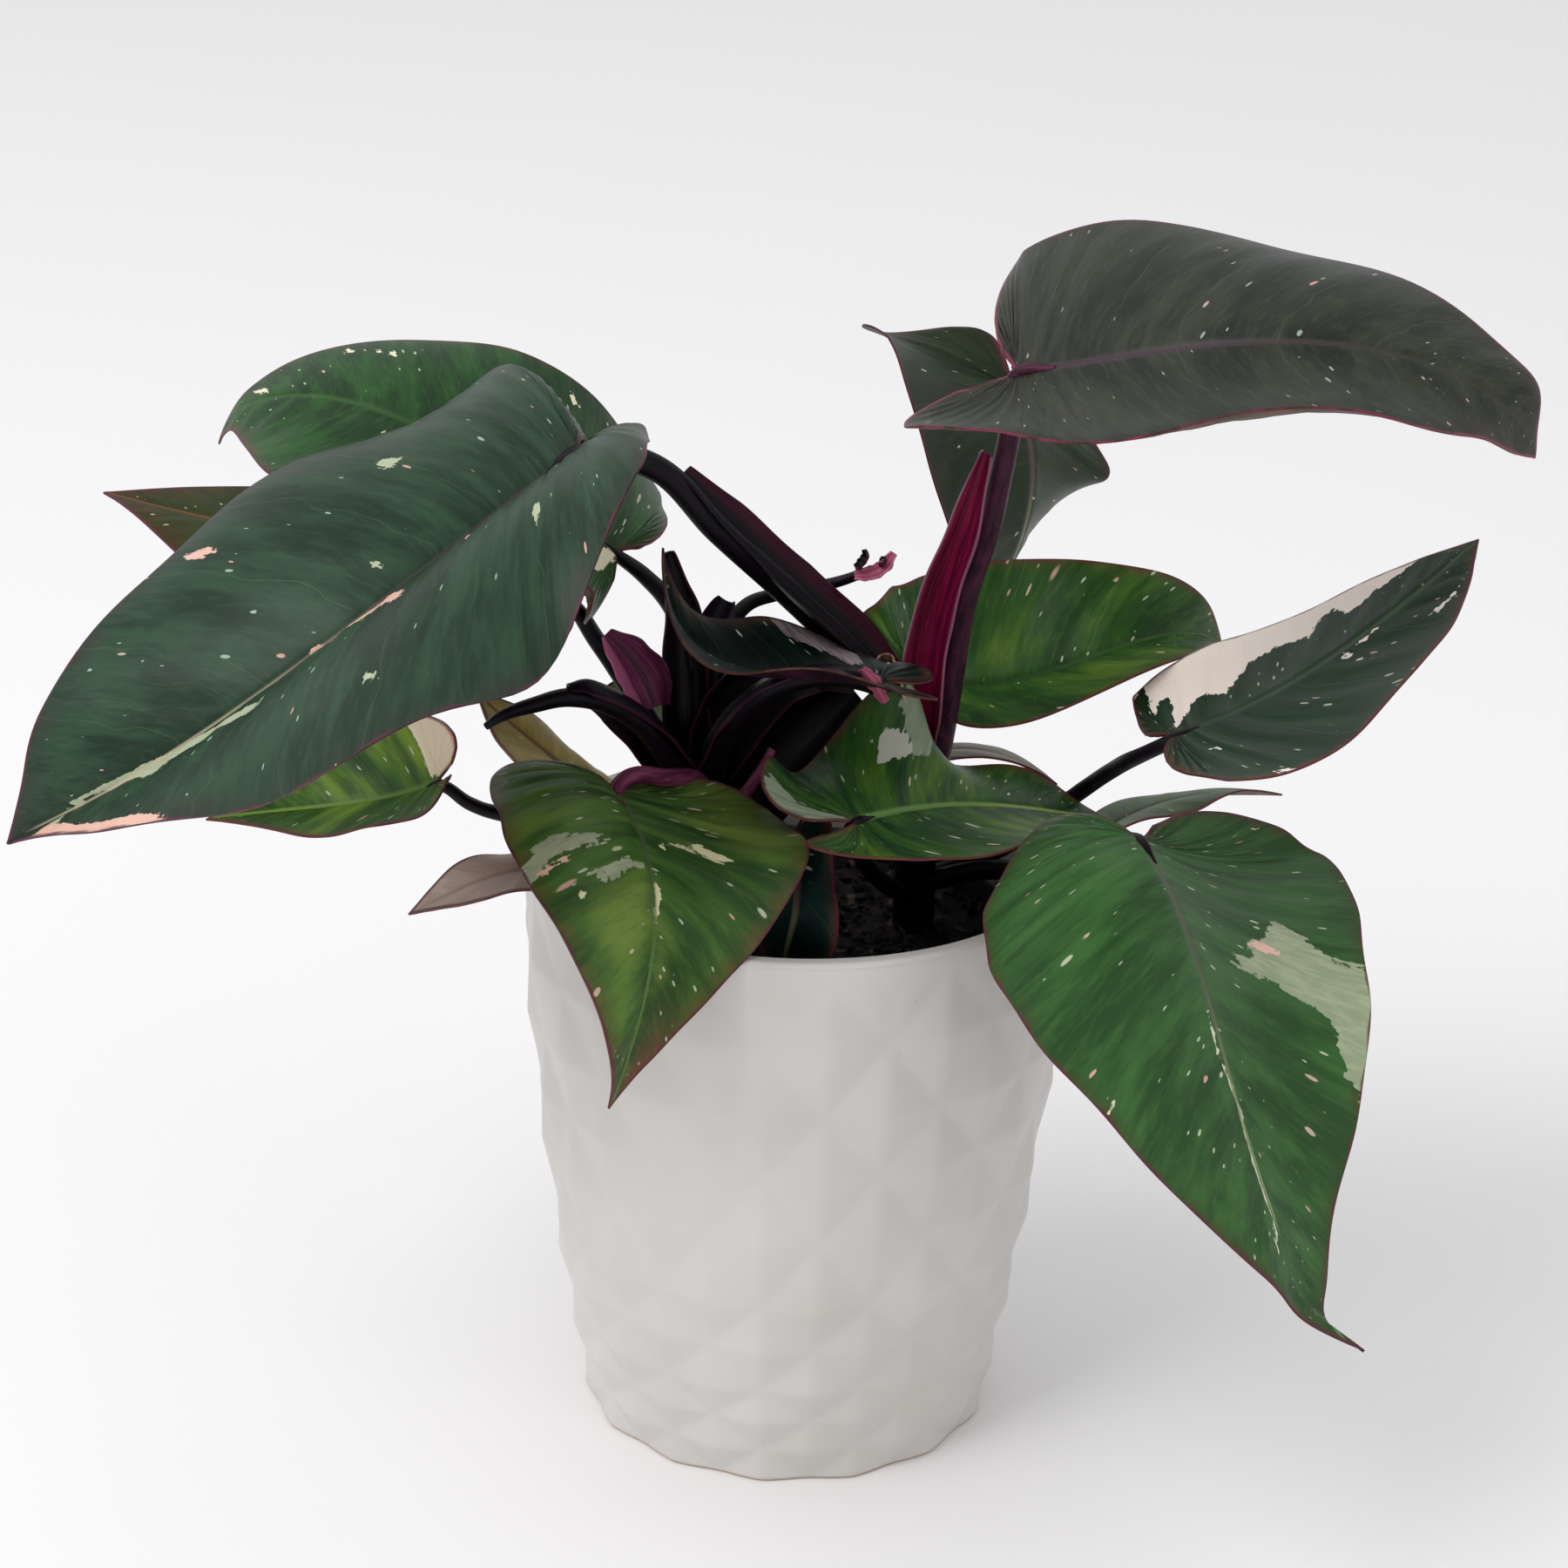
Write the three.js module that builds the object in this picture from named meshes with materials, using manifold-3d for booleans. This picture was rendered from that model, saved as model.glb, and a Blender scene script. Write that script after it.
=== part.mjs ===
// Potted blushing philodendron: a variegated climbing aroid with long heart-shaped leaves
// on maroon stalks, in a white cachepot with diamond facets.
// Millimetres, +Z up, the origin at the middle of the cachepot's underside, front towards -Y.
import * as THREE from 'three';
import Module from 'manifold-3d';

const wasm = await Module();
wasm.setup();

// Cachepot
const RIM_RADIUS = 75;
const FOOT_RADIUS = 55.7;
const POT_BELLY = 13;
const POT_HEIGHT = 164;
const WALL = 5.5;
const FLOOR_THICKNESS = 6;
const DIAMONDS_AROUND = 14;
const FACET_RELIEF = 1.5;
const LATTICE_HEIGHTS = [0, 10, 20.5, 30.5, 44.5, 58.5, 79, 100, 118, 139, 158];
const RIM_STEPS_PER_DIAMOND = 4;
const LIP_ROUNDING = 1;
const LIP_WIDTH = 4.5;
const INNER_RINGS = [0.6, 0.3];

// Nursery pot and soil
const GAP = 0.3;
const NURSERY_WALL = 1.4;
const NURSERY_FOOT_RADIUS = 44;
const NURSERY_RIM_RADIUS = 60;
const NURSERY_HEIGHT = 140;
const NURSERY_BRIM = { height: 8, width: 1, slope: 2 };
const NURSERY_SIDES = 36;
const SOIL_TOP = 139;
const SOIL_SIDES = 24;
const SOIL_RINGS = [1, 0.75, 0.5, 0.25];
const SOIL_LUMPS = 1.1;

// Blades
const BLADE_THICKNESS = 0.8;
const LARGE_BLADE = 90;
const LARGE_GRID = { rows: 12, steps: 4 };
const SMALL_GRID = { rows: 10, steps: 3 };
const VEIN_SWEEP = 1.3;
const LOBE_LENGTH = 0.2;
const NECK_END = 0.5;

// Half of a heart-shaped margin from the sinus round the lobe to the drip tip: how far along
// the midrib and how far across, as shares of the blade's length and half width.
const HALF_MARGIN = [
  [-0.13, 0.12], [-0.2, 0.28], [-0.205, 0.5], [-0.13, 0.76], [0.02, 0.94], [0.2, 1],
  [0.42, 0.9], [0.63, 0.66], [0.82, 0.34], [0.93, 0.13], [1, 0],
];
// Where the side vein that ends at each of those points leaves the midrib.
const VEIN_FEET = [0, 0, 0, 0, 0, 0.06, 0.2, 0.42, 0.68, 0.87, 1];

// Each blade: where the stalk meets it and where its tip is, then its bearing in degrees and
// millimetres. Pairs give the side left of the midrib as seen from the tip, then the other one.
const BLADES = {
  left_large_blade: {
    base: [-58.3, -29.6, 283.3], tip: [-196.6, -73.2, 193], width: 78.2,
    roll: 11, twist: 24, arch: 23.3, skew: 0.21, sway: -35.3,
    fold: [22, 46], curl: [-32, -31], lobe: [0.33, 0.62], lift: [-13.1, -2.8],
    flare: [-0.3, -0.3], neck: [-0.04, -0.26], wave: [-3.6, 9.5],
    phase: [-3.11, -0.86], ripples: 2.52, colour: '#2c3f38',
  },
  back_left_blade: {
    base: [-50.5, 17.7, 241.8], tip: [-165.5, 72.1, 258.7], width: 52.4,
    roll: 17, twist: 24, arch: 40.8, skew: -0.14, sway: -10.3,
    fold: [-3, -10], curl: [-18, 36], lobe: [0.23, 0.28], lift: [0.3, -8.2],
    flare: [-0.02, 0.01], neck: [0.02, -0.11], wave: [-9.3, 8.6],
    phase: [1.35, -0.01], ripples: 1.28, colour: '#2e5630',
  },
  far_left_blade: {
    base: [-81, 8, 237], tip: [-191, 33, 250], width: 37, roll: 9, twist: -5, arch: 1,
    skew: 0.2, sway: -3, fold: [10, 8], curl: [-11, -38], lobe: [1, 1], lift: [0, 0],
    flare: [0, 0], wave: [0, -3], phase: [0, 0.3], ripples: 1.5, colour: '#57502a',
  },
  lower_left_blade: {
    base: [-98, 0, 181], tip: [-162, 6, 166], width: 24, roll: 18, twist: 0, arch: -9,
    skew: 0.3, sway: 6, fold: [24, 17], curl: [3, 0], lobe: [0.9, 0.9], lift: [2, 3],
    flare: [-0.1, 0], wave: [1, -2], phase: [0.1, 1.3], ripples: 1.6, colour: '#44702c',
  },
  narrow_olive_blade: {
    base: [-51, -8, 178], tip: [-88, 8, 204], width: 17, roll: 9, twist: 8, arch: 6,
    skew: 0.2, sway: -5, fold: [8, 10], curl: [-36, 1], lobe: [1, 1], lift: [0, 0],
    flare: [0, 0], wave: [2, -2], phase: [0.3, -0.3], ripples: 1.4, colour: '#6a6136',
  },
  front_left_blade: {
    base: [-48.2, -36.4, 194.5], tip: [-46, -106.4, 137.8], width: 36.8,
    roll: 21, twist: 33, arch: 25.9, skew: -0.14, sway: -4,
    fold: [25, -3], curl: [-40, 17], lobe: [0.93, 0.53], lift: [-5, 0.5],
    flare: [0, 0.01], neck: [-0.03, 0.25], wave: [1.7, -7.1],
    phase: [-1.9, -0.29], ripples: 1.86, colour: '#42602c',
  },
  torn_blade: {
    base: [-60, -54, 179], tip: [-100, -59, 168], width: 14, roll: 8, twist: 5, arch: 7,
    skew: 0.3, sway: -2, fold: [12, 11], curl: [-15, -3], lobe: [1, 1], lift: [0, 0],
    flare: [0, 0], wave: [3, -1], phase: [0.8, 0.7], ripples: 1.5, colour: '#8b7d74',
  },
  front_right_blade: {
    base: [87, -47.5, 189.5], tip: [135.5, -139.6, 95.6], width: 57.7,
    roll: 14, twist: 6, arch: 14.5, skew: 1.05, sway: 13.1,
    fold: [10, -23], curl: [-27, 27], lobe: [0.84, 0.37], lift: [-5.6, 7.2],
    flare: [-0.25, 0.1], neck: [-0.12, 0.3], wave: [-7.4, -13.5],
    phase: [0.65, 0.41], ripples: 0.92, colour: '#2b4d2a',
  },
  upper_right_blade: {
    base: [52.7, -5, 300.6], tip: [187.9, -16.1, 287.3], width: 60,
    roll: -14, twist: -16, arch: 37.1, skew: -0.32, sway: 14.3,
    fold: [-16, 12], curl: [39, -20], lobe: [1.04, 0.28], lift: [2.1, -0.4],
    flare: [0.33, 0.4], neck: [-0.33, 0.05], wave: [-14, 14],
    phase: [-0.33, 0.08], ripples: 1.06, colour: '#343d35',
  },
  hanging_back_blade: {
    base: [58.4, 104, 266.5], tip: [51.6, 92.5, 197.9], width: 43.6,
    roll: 47, twist: 43, arch: 19.2, skew: 0.48, sway: -4.7,
    fold: [3, -31], curl: [13, 6], lobe: [0.92, 1.1], lift: [-4.9, 0],
    flare: [0.5, 0], neck: [0.1, -0.07], wave: [4, -1.5],
    phase: [0.12, 0.37], ripples: 1.5, colour: '#35442c',
  },
  back_right_blade: {
    base: [30.6, 54.8, 194.1], tip: [120, 72.4, 199.3], width: 35.1,
    roll: -29, twist: -8, arch: 27.3, skew: -0.91, sway: 15.9,
    fold: [32, 19], curl: [5, 1], lobe: [0.2, 0.71], lift: [2.2, 6.4],
    flare: [0.05, -0.3], neck: [-0.02, -0.07], wave: [2.2, -5.8],
    phase: [1.3, 1.28], ripples: 1.28, colour: '#3e692c',
  },
  half_pink_blade: {
    base: [97.9, -12.9, 204.8], tip: [180.3, 21.3, 250], width: 43.8,
    roll: 31, twist: -13, arch: -6.1, skew: 0.46, sway: 7.5,
    fold: [-27, 15], curl: [8, 6], lobe: [0.35, 0.22], lift: [-0.5, 0],
    flare: [0.18, -0.22], neck: [0.05, -0.19], wave: [-4.4, -4.5],
    phase: [-0.55, 2.65], ripples: 1.21, colour: '#28482d',
  },
  centre_blade: {
    base: [14, -40, 189], tip: [85, 17, 168], width: 32, roll: -17, twist: -1, arch: 6,
    skew: 0.4, sway: -1, fold: [-1, 5], curl: [17, 8], lobe: [1.1, 1.1], lift: [4, 3],
    flare: [-0.3, 0], wave: [2, -14], phase: [0.2, -1.1], ripples: 2.2, colour: '#477532',
  },
  young_blade: {
    base: [20, -22, 221], tip: [-37, -24, 257], width: 22, roll: 0, twist: 16, arch: -22,
    skew: -0.6, sway: 1, fold: [13, 8], curl: [-7, 14], lobe: [1, 1], lift: [0, 0],
    flare: [0, 0], wave: [-4, -3], phase: [0.1, 0.9], ripples: 1.4, colour: '#22332c',
  },
  narrow_right_blade: {
    base: [87, 21, 165], tip: [135, 36, 169], width: 16, roll: 15, twist: 4, arch: 5,
    skew: 0.2, sway: 0, fold: [12, 9], curl: [-12, -8], lobe: [1, 1], lift: [0, 0],
    flare: [0, 0], wave: [2, 1], phase: [0.2, -0.8], ripples: 1.5, colour: '#3f5c33',
  },
  curled_back_blade: {
    base: [29, 36, 175], tip: [72, 37, 170], width: 14, roll: 9, twist: 1, arch: 9,
    skew: 0.2, sway: 0, fold: [12, 10], curl: [-10, -13], lobe: [1, 1], lift: [0, 0],
    flare: [0, 0], wave: [0, 1], phase: [0, 0.1], ripples: 1.5, colour: '#8a8375',
  },
  back_crown_blade: {
    base: [-33.5, 30, 198], tip: [-60, 28, 194.5], width: 9.5, roll: 55, twist: -4, arch: 6,
    skew: 0, sway: -2, fold: [12, 10], curl: [-10, -18], lobe: [1, 1], lift: [0, 0],
    flare: [0, 0], wave: [0, -2], phase: [0, 0.2], ripples: 1.7, colour: '#7c9a4e',
  },
  shaded_blade: {
    base: [-2, -28, 177.5], tip: [-2, -34, 141.5], width: 13, roll: 22, twist: 1, arch: 24,
    skew: 0.5, sway: 7, fold: [17, 27], curl: [6, 16], lobe: [1, 1], lift: [0, 0],
    flare: [0, 0], wave: [-4, 6], phase: [1.2, 1.1], ripples: 1.7, colour: '#12302b',
  },
};

// Stalks: the blade they carry, points from below it down into the crown, then the radius at
// the two ends.
const LEFT_STALKS = {
  stem: { points: [[-26, 2, 190], [-26, 2, 150], [-26, 2, 123]], radius: [6, 8] },
  front_left: {
    blade: 'front_left_blade', points: [[-45, -33, 197], [-36, -27, 195], [-28, -16, 190],
      [-26, -4, 176]], radius: [2.2, 3],
  },
  lower_left: {
    blade: 'lower_left_blade', points: [[-89, 0, 175], [-81, 1, 172], [-60, 2, 169],
      [-28, 1, 160]], radius: [1.8, 2.6],
  },
  back_left: {
    blade: 'back_left_blade', points: [[-43, 15, 236], [-35, 12, 228], [-30, 9, 217],
      [-27, 5, 184]], radius: [1.8, 4],
  },
  far_left: {
    blade: 'far_left_blade', points: [[-64, 6, 232], [-55, 4, 221], [-46, 3, 208],
      [-28, 1, 180]], radius: [1.8, 3.4],
  },
  young: {
    blade: 'young_blade', points: [[11, -21, 222], [-1, -20, 221], [-12, -18, 215],
      [-20, -14, 204], [-26, -2, 178]], radius: [2.8, 4],
  },
  narrow_olive: {
    blade: 'narrow_olive_blade', points: [[-45, -5, 173], [-36, -2, 168], [-26, 1, 160]],
    radius: [1.6, 2.2],
  },
  torn: {
    blade: 'torn_blade', points: [[-52, -46, 176], [-38, -26, 170], [-26, 0, 160]],
    radius: [1.4, 2.2],
  },
  back_crown: {
    blade: 'back_crown_blade', points: [[-31, 25, 189], [-28, 15, 177], [-27, 5, 164]],
    radius: [1.5, 2.2],
  },
  shaded: {
    blade: 'shaded_blade', points: [[-8, -22, 170], [-26, 1, 156]], radius: [1.4, 2.2],
  },
  dark_spear: {
    points: [[-83, -22, 206], [-79, -22, 209], [-71, -20, 211.5], [-60, -17, 213],
      [-47, -13, 208], [-36, -8, 195], [-27, -1, 174]], radius: [1.1, 5],
  },
  magenta_bract: {
    points: [[-8, -16, 199], [-12, -16, 191], [-17, -11, 181], [-24, -2, 168]],
    radius: [1.2, 3],
  },
  side_shoot: {
    points: [[17, 15.6, 239], [8, 17, 235], [-6, 16, 232], [-17, 13, 228], [-23, 9, 212],
      [-26, 4, 186]], radius: [1.4, 2.8],
  },
};
const RIGHT_STALKS = {
  stem: { points: [[32, 8, 180], [32, 8, 150], [32, 8, 123]], radius: [7, 8] },
  left_large: {
    blade: 'left_large_blade', points: [[-41, -19, 278], [-22, -10, 257], [-3, -1, 237],
      [12, 6, 220], [26, 11, 202], [32, 9, 180]], radius: [3.6, 5],
  },
  upper_right: {
    blade: 'upper_right_blade', points: [[52, -2, 285], [50, 1, 270], [48, 4, 257],
      [42, 10, 231], [40, 14, 212], [37.5, 17, 190], [33, 9, 170]], radius: [2.7, 4.2],
  },
  half_pink: {
    blade: 'half_pink_blade', points: [[90, -8, 197], [84, 6, 187], [77, 18, 176],
      [68, 19, 168], [56, 15, 160], [33, 9, 152]], radius: [2.2, 2.8],
  },
  back_right: {
    blade: 'back_right_blade', points: [[22, 46, 186], [20, 40, 172], [26, 22, 160],
      [32, 10, 148]], radius: [2, 2.8],
  },
  hanging_back: {
    blade: 'hanging_back_blade', points: [[54, 94, 252], [49, 86, 229], [44, 78, 207],
      [40, 70, 188], [35, 55, 170], [33, 30, 158], [32, 10, 148]], radius: [1.8, 2.8],
  },
  front_right: {
    blade: 'front_right_blade', points: [[81, -27, 177], [66, -18, 168], [48, -2, 160],
      [33, 7, 152]], radius: [2.4, 3.2],
  },
  centre: {
    blade: 'centre_blade', points: [[15, -34, 180], [20, -20, 166], [31, 5, 148]],
    radius: [2, 2.8],
  },
  narrow_right: {
    blade: 'narrow_right_blade', points: [[76, 13, 166], [58, 11, 166], [33, 8, 162]],
    radius: [1.5, 2.2],
  },
  curled_back: {
    blade: 'curled_back_blade', points: [[27, 28, 170], [30, 16, 162]], radius: [1.8, 2.2],
  },
};

// Sheaths: open channels, from their upper end down; half width at each point and the way
// they face. Those with a colour of their own stand a gap clear of their stalk.
const LEFT_SHEATHS = {
  spear_sheath: {
    points: [[-62, -16, 216], [-56, -14, 216.5], [-46, -11, 210], [-36, -5, 197], [-28, 0, 180]],
    half: [2.5, 6, 7, 7, 6], facing: [0.1, -0.4, -0.9],
  },
  back_left_sheath: {
    points: [[-36.5, 8, 245.5], [-34, 8, 237], [-32, 8, 228.5], [-31, 6, 215], [-30, 3, 200],
      [-28, 2, 182]], half: [1.2, 2.6, 4, 5, 5.5, 5.5], facing: [-0.2, -1, 0.2],
  },
  short_sheath: {
    points: [[-20.5, 6, 232.5], [-22.3, 6, 228.5], [-24.5, 5, 220], [-27, 4, 204]],
    half: [2.2, 3.4, 4, 4.5], facing: [-0.3, 1, -0.2],
  },
  inner_sheath: {
    points: [[-9.5, 5, 211], [-16.8, 3, 208], [-21.7, 1, 199.5], [-25.2, 0, 187.5]],
    half: [3, 6, 7, 6], facing: [0.2, -1, 0.4],
  },
  young_sheath: {
    points: [[14, -22, 221], [4, -21, 224], [-8, -18, 219.5], [-17, -12, 208], [-25, -4, 190]],
    half: [2.5, 5, 6.5, 7, 6], facing: [0.35, -0.7, -0.6],
  },
  old_sheath: {
    points: [[14, 14, 205], [4, 12, 196], [-8, 8, 184], [-22, 3, 166]],
    half: [3, 9, 10, 8], facing: [0.2, -1, 0.4],
  },
  pink_stub: {
    points: [[14.9, -25.5, 225.8], [18.1, -25.5, 221.8], [21.1, -24.5, 216.2]],
    half: [0.8, 1.6, 1], facing: [0.4, 1, -0.5],
  },
};
const RIGHT_SHEATHS = {
  left_large_sheath: {
    points: [[-31.5, -15, 274.5], [-20, -10, 260.5], [-2.5, -3, 240], [12.5, 3, 224],
      [24, 7, 206]], half: [2.5, 5.5, 7.3, 7.3, 6], facing: [0.5, -0.5, 0.8],
  },
  papery_bract: {
    points: [[22.5, -3, 222], [23.3, -1, 216.5], [25, 2, 208], [28, 5, 198]],
    half: [2.2, 3.6, 4.2, 4.5], facing: [-0.6, -1, 0],
  },
};
const OWN_SHEATHS = {
  upper_right_sheath: {
    points: [[46, -6, 279], [42.5, -1, 259], [36, 6, 232], [34, 9, 214], [34, 13, 200],
      [35, 16, 188]], half: [1.5, 3.5, 4.7, 5.4, 4.8, 2], facing: [-0.5, -1, 0.1],
    colour: '#8a1648',
  },
  far_left_sheath: {
    points: [[-52.5, -7, 227], [-47.5, -8, 222], [-43, -8, 215], [-40, -8, 207]],
    half: [1.5, 4.5, 6, 4], facing: [0.3, -1, 0.4], colour: '#9a3f5e',
  },
  small_curled_blade: {
    points: [[23.5, 14, 244.5], [21.3, 13.3, 240.5], [17.7, 12.8, 238.3], [13, 12.8, 237.8]],
    half: [0.9, 1.8, 2.1, 1.3], facing: [-0.2, -0.6, 1], colour: '#a3485a',
  },
};
const STALK_SIDES = 7;
const STALK_STEP = 12;
const STALK_DROP = 1.2;
const SHEATH_WALL = 0.9;
const SHEATH_STEPS = 2;
const SHEATH_SLATS = 4;
const SHEATH_SPREAD = 80;

const POT_FINISH = { color: '#d8d8d4', roughness: 0.32, metalness: 0 };
const LEAF_ROUGHNESS = 0.42;

/** Radius of the cachepot's outside at height z, before the facets. */
function potRadius(z) {
  const s = z / POT_HEIGHT;
  return FOOT_RADIUS * (1 - s) + RIM_RADIUS * s + POT_BELLY * s * (1 - s);
}

/** Collects points and triangles and makes a geometry of them. */
class Facets {
  constructor() {
    this.points = [];
    this.triangles = [];
  }

  add(x, y, z) {
    this.points.push(x, y, z);
    return this.points.length / 3 - 1;
  }

  ring(radius, z, count, start = 0) {
    const ids = [];
    for (let i = 0; i < count; i += 1) {
      const angle = start + (2 * Math.PI * i) / count;
      ids.push(this.add(radius * Math.sin(angle), -radius * Math.cos(angle), z));
    }
    return ids;
  }

  face(a, b, c) {
    if (a !== b && b !== c && c !== a) {
      this.triangles.push(a, b, c);
    }
  }

  band(low, high) {
    const n = low.length;
    for (let i = 0; i < n; i += 1) {
      const j = (i + 1) % n;
      this.face(low[i], low[j], high[j]);
      this.face(low[i], high[j], high[i]);
    }
  }

  fan(centre, ids, upwards) {
    for (let i = 0; i < ids.length; i += 1) {
      const j = (i + 1) % ids.length;
      if (upwards) {
        this.face(centre, ids[i], ids[j]);
      } else {
        this.face(centre, ids[j], ids[i]);
      }
    }
  }

  geometry() {
    const geometry = new THREE.BufferGeometry();
    geometry.setAttribute('position', new THREE.Float32BufferAttribute(this.points, 3));
    geometry.setIndex(this.triangles);
    return geometry;
  }
}

/** The cachepot: raised diamonds on the outside, plain rounded inside, open at the top. */
function cachepot() {
  const f = new Facets();
  const n = DIAMONDS_AROUND;
  const step = (2 * Math.PI) / n;
  const top = LATTICE_HEIGHTS.length - 1;
  const first = (k) => (k % 2 === 0 ? step / 4 : -step / 4);
  const rings = LATTICE_HEIGHTS.slice(0, top).map((z, k) => f.ring(potRadius(z), z, n, first(k)));
  const round = n * RIM_STEPS_PER_DIAMOND;
  const band = f.ring(potRadius(LATTICE_HEIGHTS[top]), LATTICE_HEIGHTS[top], round, first(top));
  rings.push(band.filter((_, i) => i % RIM_STEPS_PER_DIAMOND === 0));
  for (let k = 0; k < top; k += 1) {
    const z = LATTICE_HEIGHTS[k];
    const centres = f.ring(potRadius(z) + FACET_RELIEF, z, n, first(k + 1));
    for (let j = 0; j < n; j += 1) {
      // The diamond of column j has its sides on ring k, its middle raised between them.
      const right = rings[k][(j + (k % 2 === 0 ? 0 : 1)) % n];
      const left = rings[k][(j + (k % 2 === 0 ? n - 1 : 0)) % n];
      const above = rings[k + 1][j];
      f.face(left, centres[j], above);
      f.face(centres[j], right, above);
      if (k > 0) {
        const below = rings[k - 1][j];
        f.face(left, below, centres[j]);
        f.face(below, right, centres[j]);
      }
    }
    if (k === 0) {
      const base = [];
      for (let j = 0; j < n; j += 1) {
        base.push(centres[j], rings[0][j]);
      }
      f.fan(f.add(0, 0, 0), base, false);
    }
  }
  for (let j = 0; j < n; j += 1) {
    // Above the last diamonds the wall is round.
    const low = rings[top - 1][j];
    const start = (j * RIM_STEPS_PER_DIAMOND + round - RIM_STEPS_PER_DIAMOND) % round;
    for (let i = 0; i < RIM_STEPS_PER_DIAMOND; i += 1) {
      f.face(low, band[(start + i + 1) % round], band[(start + i) % round]);
    }
  }
  const turn = first(top);
  const lipAndInside = [
    [RIM_RADIUS, POT_HEIGHT - LIP_ROUNDING],
    [RIM_RADIUS - LIP_ROUNDING, POT_HEIGHT],
    [RIM_RADIUS - LIP_WIDTH + LIP_ROUNDING, POT_HEIGHT],
    [RIM_RADIUS - LIP_WIDTH, POT_HEIGHT - LIP_ROUNDING],
    ...INNER_RINGS.map((share) => [potRadius(POT_HEIGHT * share) - WALL, POT_HEIGHT * share]),
    [potRadius(0) - WALL, FLOOR_THICKNESS],
  ];
  let last = band;
  lipAndInside.forEach(([radius, z]) => {
    const next = f.ring(radius, z, round, turn);
    f.band(last, next);
    last = next;
  });
  f.fan(f.add(0, 0, FLOOR_THICKNESS), last, true);
  return f.geometry();
}

/** A thin-walled plain pot that stands inside the cachepot. */
function nurseryPot() {
  const low = FLOOR_THICKNESS + GAP;
  const high = low + NURSERY_HEIGHT;
  const { height, width, slope } = NURSERY_BRIM;
  const profile = [
    [0, low],
    [NURSERY_FOOT_RADIUS, low],
    [NURSERY_RIM_RADIUS - width, high - height - slope],
    [NURSERY_RIM_RADIUS + width, high - height],
    [NURSERY_RIM_RADIUS + width, high],
    [NURSERY_RIM_RADIUS - NURSERY_WALL, high],
    [NURSERY_FOOT_RADIUS - NURSERY_WALL, low + NURSERY_WALL],
    [0, low + NURSERY_WALL],
  ].map(([x, y]) => new THREE.Vector2(x, y));
  return new THREE.LatheGeometry(profile, NURSERY_SIDES).rotateX(Math.PI / 2);
}

/** The soil: a plug that fills the nursery pot, with a lumpy top. */
function soil() {
  const f = new Facets();
  const low = FLOOR_THICKNESS + GAP + NURSERY_WALL + GAP;
  const slope = (NURSERY_RIM_RADIUS - NURSERY_FOOT_RADIUS) / NURSERY_HEIGHT;
  const radiusAt = (z) => NURSERY_FOOT_RADIUS - NURSERY_WALL - GAP * 2 + slope * (z - low);
  const bottom = f.ring(radiusAt(low), low, SOIL_SIDES);
  f.fan(f.add(0, 0, low), bottom, false);
  let last = bottom;
  SOIL_RINGS.forEach((share, k) => {
    const next = f.ring(radiusAt(SOIL_TOP) * share, SOIL_TOP, SOIL_SIDES);
    next.forEach((id, i) => {
      const lump = Math.sin(i * 2.4 + k * 1.7) + Math.sin(i * 0.9 - k * 2.6);
      f.points[id * 3 + 2] += k === 0 ? 0 : lump * SOIL_LUMPS;
    });
    f.band(last, next);
    last = next;
  });
  f.fan(f.add(0, 0, SOIL_TOP), last, true);
  return f.geometry();
}

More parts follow.
